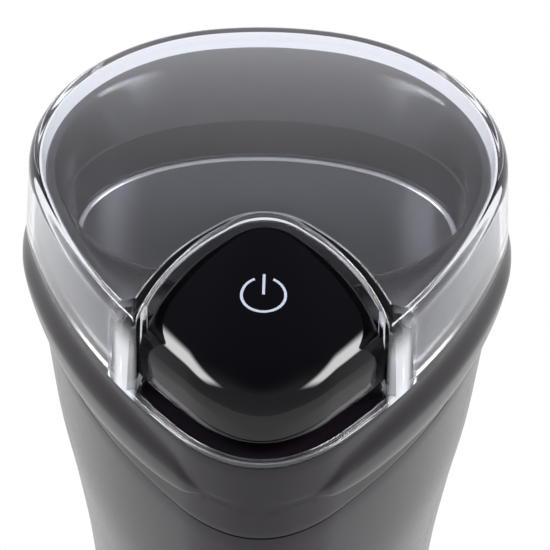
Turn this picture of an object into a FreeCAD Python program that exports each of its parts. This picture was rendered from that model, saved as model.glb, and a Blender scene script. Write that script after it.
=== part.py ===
import FreeCAD, Part
import math
import os

from FreeCAD import Vector

# Electric spice grinder, in millimetres. +Z is up, the nose with its push button faces -Y,
# and the origin is on the resting surface, midway across and midway between nose and back.

# Plan outline at the lid's lower edge: tangent arcs from the nose round to the back.
# Each turn is the angle in degrees that the outline has turned through at the arc's end.
nose_radius = 15.5
nose_turn = 25.0
cheek_radius = 27.0
cheek_turn = 47.0
flank_radius = 150.0
flank_turn = 53.0
side_radius = 122.0
side_turn = 73.5
corner_radius = 41.7
corner_turn = 169.0

# Heights of the main joints
base_bottom = 2.0
shell_bottom = 4.5
seam_height = 143.0
seat_height = 160.0

# Clearances
lid_gap = 0.35
slide_gap = 0.5
guide_gap = 0.3
fit_gap = 0.2
shaft_gap = 0.05
air_gap = 0.6

# Lid
lid_wall = 2.4
lid_wall_height = 16.4
lid_draft = 0.9
lid_top = 2.4
lid_rise = 5.6
lid_edge_round = 2.6
lid_bar_height = 1.0
lid_bar_width = 1.4
bay_wall = 2.4

# Bay of the lid in which the button stands, measured on its clear opening
bay_half_width = 23.6
bay_crown_radius = 10.3
bay_leg_radius = 38.0
bay_flank_angle = 38.0
bay_depth = 44.0

# Button
button_wall = 2.0
button_front_inset = 3.1
button_lift = 3.2
button_travel = 3.0
button_edge_round = 0.6
button_neck_step = 1.6
button_neck_root = 3.0
button_neck_wall = 1.6
button_neck_drop = 7.5
post_radius = 2.5
post_spacing = 30.0
post_place = 24.0
post_end = 141.0
spring_seat_radius = 6.0
spring_seat_height = 170.0
spring_radius = 5.2
spring_wall = 0.9

# Mark on the button: an open ring with an upright bar, inlaid flush
mark_radius = 4.2
mark_stroke = 0.5
mark_depth = 0.4
mark_place = 26.6
mark_opening = 50.0

# Collar
collar_wall = 2.4
upstand_root = 2.0
upstand_gap = 0.9
upstand_wall = 1.9
upstand_height = 11.9
ledge_height = 2.5
ledge_width = 0.6
pit_floor = 150.0
pit_floor_thickness = 2.0
pit_gap = 0.4
pit_wall = 2.0
pit_front_inset = 2.2
skirt_inset = 3.6
socket_grow = 6.4
collar_lip_drop = 5.0
collar_lip_wall = 1.6
collar_lip_gap = 0.2
collar_lip_draft = 0.1
guide_sleeve_wall = 1.5
guide_sleeve_drop = 4.0

# Grinding bowl: an oval with its rim under the collar's well
bowl_place = 71.5
bowl_half_width = 36.7
bowl_half_depth = 24.7
bowl_fullness = 2.05
bowl_rim_height = 155.0
bowl_depth = 36.0
bowl_sheet = 0.8
bowl_flange = 2.2
gasket_thickness = 0.8
well_flare = 1.0
clamp_thickness = 2.4
clamp_width = 6.0
clamp_bore_gap = 1.0
clamp_screw_offset = 4.1
clamp_screw_radius = 1.2
clamp_head_radius = 2.2
clamp_head_height = 1.6
clamp_angles = (90.0, -38.0, -142.0)

# Body shells
shell_wall = 2.4
split_place = 54.0
split_lean = 0.12
rim_width = 2.6
rim_thickness = 3.0
boss_radius = 3.4
base_screw_radius = 1.4
base_head_radius = 3.0
base_head_height = 1.6
base_screw_length = 14.0
base_screw_relief = 4.0
base_boss_height = 18.0
front_boss_half_spacing = 16.0
front_boss_place = 32.0
rear_boss_half_spacing = 15.0
rear_boss_place = 99.0
base_lip_height = 3.0
base_lip_draft = 0.6

# Feet
foot_radius = 6.0
foot_height = 2.0
peg_radius = 2.0
front_foot_half_spacing = 10.0
front_foot_place = 24.0
rear_foot_half_spacing = 25.5
rear_foot_place = 84.0

# Cord inlet at the rear
inlet_height = 17.0
inlet_radius = 5.0
inlet_bore = 3.4
inlet_flange = 1.6
inlet_flange_radius = 7.0
inlet_seat = 0.1
inlet_inner_reach = 3.0

# Motor, on the bowl's axis
shaft_radius = 3.0
shaft_bottom = 13.0
stator_half_width = 25.0
stator_half_depth = 20.5
stator_bottom = 58.0
stator_height = 24.0
stator_bore = 13.0
stator_corner = 11.0
coil_width = 4.4
coil_thickness = 3.6
coil_place = 13.6
coil_half_width = 15.0
coil_overhang = 7.0
coil_gap = 0.3
armature_slots = 12
armature_slot_width = 1.6
armature_slot_depth = 3.0
armature_overhang = 1.0
winding_radius = 11.5
winding_height = 7.0
winding_round = 2.5
commutator_radius = 9.0
commutator_bottom = 37.0
commutator_height = 10.0
commutator_bars = 16
commutator_slot = 0.6
bracket_thickness = 4.0
bracket_width = 15.0
bracket_leg = 3.0
lower_bracket_bottom = 30.0
upper_bracket_bottom = 96.0
bearing_radius = 6.0
bearing_length = 7.0
stator_screw_radius = 1.5
stator_screw_head = 2.8
stator_screw_head_height = 2.0
stator_screw_place = 18.0
bracket_foot_length = 9.0
bracket_hub_wall = 2.5
bracket_foot_height = 3.0
brush_size = 5.0
brush_length = 8.5
brush_holder_wall = 1.6
brush_holder_gap = 1.5
brush_spring_radius = 1.8
brush_spring_wall = 0.6
fan_radius = 19.0
fan_hub_radius = 5.5
fan_bottom = 16.0
fan_disc = 1.5
fan_blade_height = 8.0
fan_blade_thickness = 1.4
fan_blades = 9

# Motor plate and mounts
plate_bottom = 104.0
plate_thickness = 3.0
plate_hole_radius = 9.0
wire_port_place = 14.0
wire_port_width = 20.0
wire_port_length = 20.0
mount_radius = 4.0
mount_spacing = 40.0
mount_screw_radius = 1.6
mount_screw_head = 3.0
mount_screw_head_height = 1.8

# Blade set
seal_radius = 6.5
seal_flange_radius = 8.5
seal_flange = 1.4
seal_length = 4.5
running_gap = 0.4
spacer_radius = 4.6
spacer_height = 4.0
blade_reach = 19.5
blade_width = 9.0
blade_thickness = 1.4
blade_root = 7.0
blade_rise = 22.0
blade_low_rise = 7.0
blade_stand = 25.0
blade_cap_radius = 5.2
blade_cap_height = 5.6
cap_crown = 1.6

# Switch, terminal block, thermal cut-out and lead wires
switch_half_width = 10.0
switch_half_depth = 5.0
switch_height = 15.0
switch_top = 136.4
plunger_radius = 1.6
plunger_hole_depth = 8.0
mount_arm = 2.0
mount_flange = 9.0
switch_screw_radius = 1.2
switch_screw_head = 2.2
switch_screw_head_height = 1.4
switch_screw_places = (-6.5, 6.5)
terminal_width = 18.0
terminal_deep = 9.0
terminal_tall = 10.0
terminal_height = 70.0
terminal_place = 17.0
terminal_rib_place = 6.0
terminal_ports = (-6.6, -2.2, 2.2, 6.6)
cutout_radius = 4.0
cutout_length = 12.0
wire_radius = 1.1

# Levels of the body from the seam down: height, sideways scale, and how far the nose and
# the back are drawn in from the plan outline.
body_profile = (
    (seam_height, 0.948, 0.0, 1.0),
    (134.0, 0.925, 0.3, 1.3),
    (118.0, 0.885, 1.2, 2.0),
    (103.0, 0.825, 2.6, 3.0),
    (84.0, 0.765, 4.6, 4.4),
    (58.0, 0.722, 6.6, 5.8),
    (32.0, 0.715, 7.6, 6.6),
    (14.0, 0.742, 7.0, 6.2),
    (shell_bottom, 0.765, 6.2, 5.6),
)
rib_thickness = 1.6
base_inset = 0.4
base_lip_wall = 1.6
base_head_sink = 0.2
vent_count = 8
vent_start = 7.0
vent_length = 10.5
vent_width = 2.6

# Levels of the button above the lid's seat: height and step in from its front edge, then
# height and share of the plan about the dome's centre.
button_crest = ((6.0, 0.0), (9.0, 0.25), (11.2, 1.0), (12.8, 2.4), (13.8, 4.4))
button_slope = ((14.7, 0.88), (16.0, 0.74), (17.5, 0.58), (18.9, 0.42), (20.0, 0.27), (20.6, 0.14))

# Levels of the collar's swelling above the seam: height, how far in from the plan, sideways scale.
wing_profile = (
    (0.0, 3.0, 0.985),
    (1.6, 1.7, 0.995),
    (4.0, 0.2, 1.005),
    (7.5, -0.9, 1.01),
    (11.0, -1.0, 1.012),
    (14.0, -0.6, 1.01),
    (17.0, 0.5, 1.0),
)
wing_front = 2.2
wing_back = 1.6

# The collar's flush face at the lid's seat: sideways scale and how far nose and back are drawn in.
collar_head = (0.985, 0.0, 0.6)
collar_lip_lean = 0.013
lip_draw = (0.4, 1.4)

# Levels of the bowl from its rim: drop and how far the wall has moved in.
bowl_profile = ((0.0, 0.0), (14.0, 0.4), (24.0, 1.4), (30.0, 3.6), (34.0, 7.4), (bowl_depth, 12.5))
gasket_inset = 0.4
clamp_screw_grip = 5.0

dome_levels = (1.0, 0.85, 0.68, 0.5, 0.33, 0.18, 0.08)
outline_samples = (2, 3, 2, 4, 7, 2)
section_samples = 24


def outline_arcs():
    # Start turn, end turn, radius and start point of each arc, with the back arc closing the half.
    turns = [0.0, nose_turn, cheek_turn, flank_turn, side_turn, corner_turn]
    radii = [nose_radius, cheek_radius, flank_radius, side_radius, corner_radius]
    x = 0.0
    y = 0.0
    arcs = []
    for radius, first, last in zip(radii, turns, turns[1:]):
        start = math.radians(first)
        end = math.radians(last)
        arcs.append((start, end, radius, x, y))
        x += radius * (math.sin(end) - math.sin(start))
        y += radius * (math.cos(start) - math.cos(end))
    start = math.radians(corner_turn)
    back_radius = x / math.sin(start)
    arcs.append((start, math.pi, back_radius, x, y))
    return arcs, y + back_radius * (1.0 + math.cos(start))


plan_arcs, plan_depth = outline_arcs()
nose_y = -plan_depth / 2.0


def half_outline(inset):
    # Points from the nose to the back on the +X side, moved in from the outline by the inset.
    points = []
    for (start, end, radius, x, y), count in zip(plan_arcs, outline_samples):
        for step in range(count):
            turn = start + (end - start) * step / count
            px = x + radius * (math.sin(turn) - math.sin(start))
            py = y + radius * (math.cos(start) - math.cos(turn))
            points.append((px - inset * math.sin(turn), nose_y + py + inset * math.cos(turn)))
    points.append((0.0, nose_y + plan_depth - inset))
    return points


def closed_curve(points, z):
    curve = Part.BSplineCurve()
    curve.interpolate(Points=[Vector(x, y, z) for x, y in points], PeriodicFlag=True)
    return Part.Wire(curve.toShape())


def plan_wire(z, inset=0.0, across=1.0, front=0.0, back=0.0, shrink=1.0, centre=0.0):
    # One level of the plan. across scales it sideways, front and back draw the nose and the
    # back in, and shrink scales it about a point on the centre line.
    stretch = (plan_depth - front - back) / plan_depth
    side = []
    for x, y in half_outline(inset):
        along = nose_y + front + (y - nose_y) * stretch
        side.append((x * across * shrink, centre + (along - centre) * shrink))
    mirrored = [(-x, y) for x, y in side[1:-1]]
    return closed_curve(side + mirrored[::-1], z)


def loft(wires, ruled=False):
    return Part.makeLoft(wires, True, ruled)


def plan_block(bottom, top, inset=0.0):
    return loft([plan_wire(bottom, inset), plan_wire(top, inset)], True)


def oval_wire(z, grow=0.0):
    power = 2.0 / bowl_fullness
    points = []
    for step in range(section_samples):
        angle = 2.0 * math.pi * (step + 0.5) / section_samples
        c = math.cos(angle)
        s = math.sin(angle)
        x = math.copysign(abs(c) ** power, c) * (bowl_half_width + grow)
        y = math.copysign(abs(s) ** power, s) * (bowl_half_depth + grow)
        points.append((x, axis_y + y))
    return closed_curve(points, z)


def oval_block(bottom, top, grow=0.0):
    return loft([oval_wire(bottom, grow), oval_wire(top, grow)], True)


def cylinder(radius, height, x, y, z, direction=Vector(0, 0, 1)):
    return Part.makeCylinder(radius, height, Vector(x, y, z), direction)


def tube(outer, inner, height, x, y, z, direction=Vector(0, 0, 1)):
    solid = cylinder(outer, height, x, y, z, direction)
    return solid.cut(cylinder(inner, height, x, y, z, direction))


def box(x0, x1, y0, y1, z0, z1):
    return Part.makeBox(x1 - x0, y1 - y0, z1 - z0, Vector(x0, y0, z0))


def bay_block(bottom, top, grow=0.0):
    # The bay's arch in plan, open to the front: crown arc, straight flanks and leg arcs.
    turn = math.radians(bay_flank_angle)
    crown = bay_crown_radius + grow
    leg = bay_leg_radius + grow
    half = bay_half_width + grow
    head = nose_y + bay_depth + grow
    front = nose_y - plan_depth / 4.0
    crown_x = crown * math.sin(turn)
    crown_y = head - crown * (1.0 - math.cos(turn))
    leg_x = half - leg * (1.0 - math.sin(turn))
    leg_y = crown_y - (leg_x - crown_x) * math.tan(turn)
    foot_y = leg_y - leg * math.cos(turn)
    half_turn = turn / 2.0
    leg_turn = (turn + math.pi / 2.0) / 2.0
    leg_mid_x = half - leg * (1.0 - math.sin(leg_turn))
    leg_mid_y = foot_y + leg * math.cos(leg_turn)
    crown_mid_x = crown * math.sin(half_turn)
    crown_mid_y = head - crown * (1.0 - math.cos(half_turn))

    def at(x, y):
        return Vector(x, y, bottom)

    edges = [
        Part.makeLine(at(half, front), at(half, foot_y)),
        Part.Arc(at(half, foot_y), at(leg_mid_x, leg_mid_y), at(leg_x, leg_y)).toShape(),
        Part.makeLine(at(leg_x, leg_y), at(crown_x, crown_y)),
        Part.Arc(at(crown_x, crown_y), at(0.0, head), at(-crown_x, crown_y)).toShape(),
        Part.makeLine(at(-crown_x, crown_y), at(-leg_x, leg_y)),
        Part.Arc(at(-leg_x, leg_y), at(-leg_mid_x, leg_mid_y), at(-half, foot_y)).toShape(),
        Part.makeLine(at(-half, foot_y), at(-half, front)),
        Part.makeLine(at(-half, front), at(half, front)),
    ]
    return Part.Face(Part.Wire(edges)).extrude(Vector(0, 0, top - bottom))


axis_y = nose_y + bowl_place
pit_grow = pit_gap - slide_gap - button_neck_step
lid_bottom = seat_height + lid_gap
lid_edge = lid_bottom + lid_wall_height
dome_centre = nose_y + 0.53 * plan_depth


def lid_envelope(inset, bottom, edge):
    # Wall with draft up to the edge, then a low dome.
    top_inset = inset + lid_draft
    wall = loft([plan_wire(bottom, inset), plan_wire(edge, top_inset)], True)
    levels = []
    for shrink in dome_levels:
        height = edge + lid_rise * (1.0 - shrink ** 2)
        levels.append(plan_wire(height, top_inset, shrink=shrink, centre=dome_centre))
    return wall.fuse(loft(levels))


def make_clear_lid():
    outer = lid_envelope(0.0, lid_bottom, lid_edge)
    edge = [e for e in outer.Edges if abs(e.BoundBox.ZMax - lid_edge) < 0.01 and e.BoundBox.ZLength < 0.01]
    outer = outer.makeFillet(lid_edge_round, edge)
    inner = lid_envelope(lid_wall, lid_bottom - 1.0, lid_edge - lid_top)
    cavity = inner.cut(bay_block(lid_bottom - 2.0, lid_edge + 2.0 * lid_rise, bay_wall))
    bar_top = lid_bottom + lid_bar_height
    opening = bay_block(bar_top, lid_edge + 2.0 * lid_rise)
    under_bar = bay_block(lid_bottom - 1.0, bar_top + 0.1)
    under_bar = under_bar.common(plan_block(lid_bottom - 2.0, bar_top + 1.0, lid_bar_width))
    return outer.cut(cavity).cut(opening).cut(under_bar)


def button_form(inset, bottom, drop):
    # The button's outer form: the bay's arch cut by an egg-shaped dome that echoes the plan.
    base = button_front_inset + inset
    levels = [plan_wire(bottom, base)]
    for height, step in button_crest:
        levels.append(plan_wire(seat_height + height - drop, base + step))
    inner_base = base + button_crest[-1][1]
    for height, shrink in button_slope:
        levels.append(plan_wire(seat_height + height - drop, inner_base, shrink=shrink,
                                centre=dome_centre))
    dome = loft(levels)
    arch = bay_block(bottom - 1.0, lid_edge + 3.0 * lid_rise, -slide_gap - inset)
    return dome.common(arch)


def neck_block(inset, bottom, top):
    # The skirt that runs down from the button into the collar's pit.
    arch = bay_block(bottom, top, -slide_gap - button_neck_step - inset)
    return plan_block(bottom, top, button_front_inset + button_neck_step + inset).common(arch)


def make_mark(form):
    # The mark is the part of an upright ring and bar that lies in the skin of the dome.
    y = nose_y + mark_place
    low = seat_height
    height = lid_edge + lid_rise - low
    ring = tube(mark_radius, mark_radius - mark_stroke, height, 0, y, low)
    wedge = mark_radius * 2.0
    half_open = wedge * math.tan(math.radians(mark_opening) / 2.0)
    corners = [Vector(0, y, low), Vector(half_open, y + wedge, low), Vector(-half_open, y + wedge, low)]
    ring = ring.cut(Part.Face(Part.makePolygon(corners + corners[:1])).extrude(Vector(0, 0, height)))
    bar = box(-mark_stroke / 2, mark_stroke / 2, y, y + mark_radius + mark_stroke, low, low + height)
    lowered = form.copy()
    lowered.translate(Vector(0, 0, -mark_depth))
    return ring.fuse(bar).common(form.cut(lowered))


def make_push_button():
    bottom = seat_height + button_lift
    form = button_form(0.0, bottom, 0.0)
    mark = make_mark(form)
    shell = form.cut(mark)
    mark_centre = Vector(0, nose_y + mark_place, 0)
    rim = []
    for edge in shell.Edges:
        size = edge.BoundBox
        middle = Vector(edge.CenterOfMass.x, edge.CenterOfMass.y, 0)
        apart = middle.distanceToPoint(mark_centre) > mark_radius * 2.0
        if apart and min(size.XLength, size.ZLength) > 0.5:
            rim.append(edge)
    shell = shell.makeFillet(button_edge_round, rim)
    shell = shell.cut(button_form(button_wall, bottom - 1.0, button_wall))
    neck_bottom = bottom - button_neck_drop
    neck = neck_block(0.0, neck_bottom, bottom + button_neck_root)
    neck = neck.cut(neck_block(button_neck_wall, neck_bottom - 1.0, bottom + button_neck_root + 1.0))
    body = shell.fuse(neck)
    post_y = nose_y + post_place
    keep = button_form(button_wall / 2.0, bottom, button_wall / 2.0)
    seat_block = cylinder(spring_seat_radius, 10.0, 0, post_y, spring_seat_height)
    body = body.fuse(seat_block.common(keep))
    body = body.fuse(cylinder(post_radius, spring_seat_height + 1.0 - post_end, 0, post_y, post_end))
    for x in (-post_spacing / 2.0, post_spacing / 2.0):
        upper = cylinder(post_radius, 10.0, x, post_y, spring_seat_height)
        lower = cylinder(post_radius, spring_seat_height - post_end, x, post_y, post_end)
        body = body.fuse(upper.common(keep).fuse(lower))
    return body, mark


def make_button_spring():
    height = spring_seat_height - guide_gap - pit_floor
    return tube(spring_radius, spring_radius - spring_wall, height, 0, nose_y + post_place, pit_floor)


def make_collar_outer():
    seam = body_profile[0][1:]
    faces = loft([plan_wire(seam_height, 0.0, *seam), plan_wire(seat_height, 0.0, *collar_head)], True)
    wires = []
    for rise, inset, across in wing_profile:
        wires.append(plan_wire(seam_height + rise, inset, across, wing_front, wing_back))
    return faces.fuse(loft(wires))


def funnel_wire(z, inset, grow, share):
    # Between the plan outline, share 0, and the bowl's oval, share 1, along rays from the bowl's axis.
    side = []
    for x, y in half_outline(inset):
        reach = math.hypot(x, y - axis_y)
        c = abs(x) / reach
        s = abs(y - axis_y) / reach
        across = (c / (bowl_half_width + grow)) ** bowl_fullness
        along = (s / (bowl_half_depth + grow)) ** bowl_fullness
        oval_reach = (across + along) ** (-1.0 / bowl_fullness)
        scale = 1.0 + share * (oval_reach / reach - 1.0)
        side.append((x * scale, axis_y + (y - axis_y) * scale))
    mirrored = [(-x, y) for x, y in side[1:-1]]
    return closed_curve(side + mirrored[::-1], z)


def make_collar_lip(inset, bottom, top):
    # The lip under the collar follows the inside of the body.
    z, across, front, back = body_profile[0]
    low = plan_wire(bottom, inset + collar_lip_draft, across - collar_lip_lean, *lip_draw)
    return loft([low, plan_wire(top, inset, across, front, back)], True)


def make_top_collar():
    outer = make_collar_outer()
    upstand_bottom = seat_height - upstand_root
    upstand_top = seat_height + upstand_height
    outer_inset = lid_wall + upstand_gap
    upstand = loft([
        plan_wire(upstand_bottom, outer_inset),
        plan_wire(upstand_top, outer_inset + lid_draft),
    ], True)
    well_top = seat_height + ledge_height
    rim_inset = outer_inset + lid_draft + upstand_wall
    hollow = loft([
        funnel_wire(well_top, rim_inset, well_flare + ledge_width, 1.0),
        funnel_wire(upstand_top + 0.01, rim_inset, 0.0, 0.0),
    ], True)
    upstand = upstand.cut(hollow)
    upstand = upstand.cut(bay_block(seat_height, upstand_top + 2.0, bay_wall + slide_gap))
    solid = outer.fuse(upstand)

    pit_low = pit_floor - pit_floor_thickness
    under = plan_block(seam_height - 1.0, seat_height - collar_wall, skirt_inset)
    pit_shell = bay_block(pit_low, seat_height, pit_grow + pit_wall)
    socket = oval_block(bowl_rim_height - bowl_sheet - gasket_thickness, seat_height, socket_grow)
    under = under.cut(pit_shell).cut(socket)
    solid = solid.cut(under)

    pit = bay_block(pit_floor, seat_height + 1.0, pit_grow)
    solid = solid.cut(pit.common(plan_block(pit_low, seat_height + 2.0, pit_front_inset)))
    flared = oval_wire(well_top + 0.01, well_flare)
    well = loft([oval_wire(bowl_rim_height - 0.01, 0.0), flared], True)
    rebate = oval_block(seam_height - 2.0, bowl_rim_height, bowl_flange + fit_gap)
    solid = solid.cut(well).cut(rebate)
    for x, y in clamp_places():
        solid = solid.cut(cylinder(clamp_screw_radius, clamp_screw_grip + 1.0, x, y,
                                   bowl_top() - bowl_sheet - 1.0))

    lip_inset = shell_wall + collar_lip_gap
    lip_low = seam_height - collar_lip_drop
    lip = make_collar_lip(lip_inset, lip_low, seam_height + 1.0)
    lip = lip.cut(make_collar_lip(lip_inset + collar_lip_wall, lip_low - 1.0, seam_height + 2.0))
    solid = solid.fuse(lip)

    post_y = nose_y + post_place
    sleeve_height = pit_floor_thickness + guide_sleeve_drop
    hole = post_radius + guide_gap
    for x in (-post_spacing / 2.0, 0.0, post_spacing / 2.0):
        drop = guide_sleeve_drop if x else 0.0
        sleeve_bottom = pit_low - drop
        if x:
            solid = solid.fuse(cylinder(hole + guide_sleeve_wall, sleeve_height, x, post_y,
                                        sleeve_bottom))
        solid = solid.cut(cylinder(hole, sleeve_height + 2.0, x, post_y, sleeve_bottom - 1.0))
    return solid


def body_levels(inset, reach=0.0):
    # Lofted levels of the body: height, sideways scale, and how far nose and back are drawn in.
    # reach carries both ends on past the body, for a cutter.
    levels = [plan_wire(z, inset, across, front, back) for z, across, front, back in body_profile]
    if reach:
        top = body_profile[0]
        foot = body_profile[-1]
        levels.insert(0, plan_wire(top[0] + reach, inset, *top[1:]))
        levels.append(plan_wire(foot[0] - reach, inset, *foot[1:]))
    return levels


def slab(bottom, top):
    return box(-plan_depth, plan_depth, -plan_depth, plan_depth, bottom, top)


def boss_places():
    front = nose_y + front_boss_place
    rear = nose_y + rear_boss_place
    return [
        (front_boss_half_spacing, front), (-front_boss_half_spacing, front),
        (rear_boss_half_spacing, rear), (-rear_boss_half_spacing, rear),
    ]


def make_body_shells():
    outer = loft(body_levels(0.0))
    hollow = loft(body_levels(shell_wall, 2.0))
    narrow = loft(body_levels(shell_wall + rim_width, 2.0))
    groove = slab(plate_bottom, plate_bottom + plate_thickness + fit_gap)
    rims = slab(plate_bottom - rim_thickness, plate_bottom + plate_thickness + fit_gap + rim_thickness)
    hollow = hollow.cut(rims.cut(groove).cut(narrow))
    for x, y in boss_places():
        side = math.copysign(plan_depth, x)
        rib = box(min(x, side), max(x, side), y - rib_thickness / 2.0, y + rib_thickness / 2.0,
                  shell_bottom, shell_bottom + base_boss_height)
        boss = cylinder(boss_radius, base_boss_height, x, y, shell_bottom)
        hollow = hollow.cut(boss.fuse(rib))
    rib_back = nose_y + terminal_place
    for x in (-terminal_rib_place, terminal_rib_place):
        hollow = hollow.cut(box(x - rib_thickness / 2.0, x + rib_thickness / 2.0, -plan_depth, rib_back,
                                terminal_height, terminal_height + terminal_tall))
    shell = outer.cut(hollow)
    for x, y in boss_places():
        shell = shell.cut(cylinder(base_screw_radius, base_screw_length + 1.0, x, y, shell_bottom - 1.0))
    inlet = cylinder(inlet_radius, plan_depth, 0.0, axis_y, inlet_height, Vector(0, 1, 0))
    shell = shell.cut(inlet)
    split_top = nose_y + split_place
    split_foot = split_top - split_lean * (seam_height - shell_bottom)
    reach = 10.0
    low = Vector(-plan_depth, split_foot - split_lean * reach, shell_bottom - reach)
    high = Vector(-plan_depth, split_top + split_lean * reach, seam_height + reach)
    corners = [low, high, Vector(-plan_depth, -plan_depth, high.z),
               Vector(-plan_depth, -plan_depth, low.z)]
    ahead = Part.Face(Part.makePolygon(corners + corners[:1])).extrude(Vector(2.0 * plan_depth, 0, 0))
    return shell.common(ahead), shell.cut(ahead)


def foot_level(z, inset):
    return plan_wire(z, inset, *body_profile[-1][1:])


def make_base_cover():
    plate = loft([foot_level(base_bottom, base_inset), foot_level(shell_bottom, base_inset)], True)
    lip_inset = shell_wall + fit_gap
    lip_top = shell_bottom + base_lip_height
    lip = loft([foot_level(shell_bottom - 0.5, lip_inset),
                foot_level(lip_top, lip_inset + base_lip_draft)], True)
    lip_inner = lip_inset + base_lip_wall
    lip = lip.cut(loft([foot_level(shell_bottom - 1.0, lip_inner),
                        foot_level(lip_top + 1.0, lip_inner)], True))
    for x, y in boss_places():
        side = math.copysign(plan_depth, x)
        half = rib_thickness / 2.0 + fit_gap
        lip = lip.cut(cylinder(boss_radius + fit_gap, base_boss_height, x, y, shell_bottom))
        lip = lip.cut(box(min(x, side), max(x, side), y - half, y + half, shell_bottom, lip_top + 1.0))
    cover = plate.fuse(lip)
    for x, y in boss_places():
        cover = cover.cut(cylinder(base_screw_radius + fit_gap, 10.0, x, y, base_bottom - 1.0))
        recess = base_head_height + base_head_sink
        cover = cover.cut(cylinder(base_head_radius + fit_gap, recess, x, y, base_bottom))
    for x, y in foot_places():
        cover = cover.cut(cylinder(peg_radius, 10.0, x, y, base_bottom - 1.0))
    for step in range(vent_count):
        angle = 360.0 * (step + 0.5) / vent_count
        vent = box(vent_start, vent_start + vent_length, -vent_width / 2.0, vent_width / 2.0,
                   base_bottom - 1.0, shell_bottom + 1.0)
        vent.rotate(Vector(0, 0, 0), Vector(0, 0, 1), angle)
        vent.translate(Vector(0, axis_y, 0))
        cover = cover.cut(vent)
    return cover


def foot_places():
    front = nose_y + front_foot_place
    rear = nose_y + rear_foot_place
    return [
        (front_foot_half_spacing, front), (-front_foot_half_spacing, front),
        (rear_foot_half_spacing, rear), (-rear_foot_half_spacing, rear),
    ]


def make_rubber_feet():
    feet = []
    for x, y in foot_places():
        pad = cylinder(foot_radius, foot_height, x, y, base_bottom - foot_height)
        feet.append(pad.fuse(cylinder(peg_radius, shell_bottom - base_bottom, x, y, base_bottom)))
    return Part.makeCompound(feet)


def screw(shank, head, head_height, length, place, direction):
    # The head's outer face is at the place; the shank runs on along the direction.
    solid = Part.makeCylinder(head, head_height, place, direction)
    along = Vector(direction).multiply(head_height)
    solid = solid.fuse(Part.makeCylinder(shank, length, place.add(along), direction))
    slot = Part.makeBox(head * 4.0, head * 0.3, head_height,
                        Vector(-head * 2.0, -head * 0.15, -head_height / 2.0))
    slot.Placement = FreeCAD.Placement(place, FreeCAD.Rotation(Vector(0, 0, 1),
                                                               direction)).multiply(slot.Placement)
    return solid.cut(slot)


def make_base_screws():
    up = Vector(0, 0, 1)
    start = base_bottom + base_head_sink
    sizes = (base_screw_radius, base_head_radius, base_head_height, base_screw_length - base_screw_relief)
    return Part.makeCompound([screw(*sizes, Vector(x, y, start), up) for x, y in boss_places()])


def bowl_top():
    return bowl_rim_height - gasket_thickness


def bowl_form(inset, lift, reach):
    # The bowl's oval wall and rounded foot; reach carries it on above the rim.
    levels = []
    if reach:
        levels.append(oval_wire(bowl_top() + reach, -inset))
    for drop, step in bowl_profile:
        rise = lift * drop / bowl_depth
        levels.append(oval_wire(bowl_top() - drop + rise, -inset - step))
    return loft(levels)


def make_grinding_bowl():
    outer = bowl_form(0.0, 0.0, 0.0)
    flange = oval_block(bowl_top() - bowl_sheet, bowl_top(), bowl_flange)
    bowl = outer.fuse(flange).cut(bowl_form(bowl_sheet, bowl_sheet, 1.0))
    return bowl.cut(cylinder(seal_radius, bowl_depth, 0, axis_y, bowl_top() - bowl_depth - 5.0))


def make_bowl_gasket():
    ring = oval_block(bowl_top(), bowl_rim_height, bowl_flange)
    return ring.cut(oval_block(bowl_top() - 1.0, bowl_rim_height + 1.0, gasket_inset))


def clamp_places():
    power = 2.0 / bowl_fullness
    places = []
    for angle in clamp_angles:
        c = math.cos(math.radians(angle))
        s = math.sin(math.radians(angle))
        x = math.copysign(abs(c) ** power, c) * (bowl_half_width + clamp_screw_offset)
        y = math.copysign(abs(s) ** power, s) * (bowl_half_depth + clamp_screw_offset)
        places.append((x, axis_y + y))
    return places


def make_bowl_clamp():
    top = bowl_top() - bowl_sheet
    bottom = top - clamp_thickness
    ring = oval_block(bottom, top, clamp_width)
    ring = ring.common(plan_block(bottom - 1.0, top + 1.0, skirt_inset + fit_gap))
    ring = ring.cut(oval_block(bottom - 1.0, top + 1.0, clamp_bore_gap))
    ring = ring.cut(bay_block(bottom - 1.0, top + 1.0, pit_grow + pit_wall + guide_gap))
    for x, y in clamp_places():
        ring = ring.cut(cylinder(clamp_screw_radius, clamp_thickness * 2.0, x, y, bottom - 1.0))
    return ring


def make_clamp_screws():
    top = bowl_top() - bowl_sheet - clamp_thickness
    up = Vector(0, 0, 1)
    start = top - clamp_head_height
    sizes = (clamp_screw_radius, clamp_head_radius, clamp_head_height, clamp_thickness + clamp_screw_grip)
    return Part.makeCompound([screw(*sizes, Vector(x, y, start), up) for x, y in clamp_places()])


def bowl_floor():
    return bowl_top() - bowl_depth + bowl_sheet


def make_shaft_seal():
    top = bowl_floor() + seal_flange
    body = cylinder(seal_radius, seal_length, 0, axis_y, top - seal_length)
    body = body.fuse(cylinder(seal_flange_radius, seal_flange, 0, axis_y, bowl_floor()))
    return body.cut(cylinder(shaft_radius + shaft_gap, seal_length + 2.0, 0, axis_y,
                             top - seal_length - 1.0))


def spacer_bottom():
    return bowl_floor() + seal_flange + running_gap


def blade_bottom():
    return spacer_bottom() + spacer_height


def make_blade_spacer():
    return tube(spacer_radius, shaft_radius, spacer_height, 0, axis_y, spacer_bottom())


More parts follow.
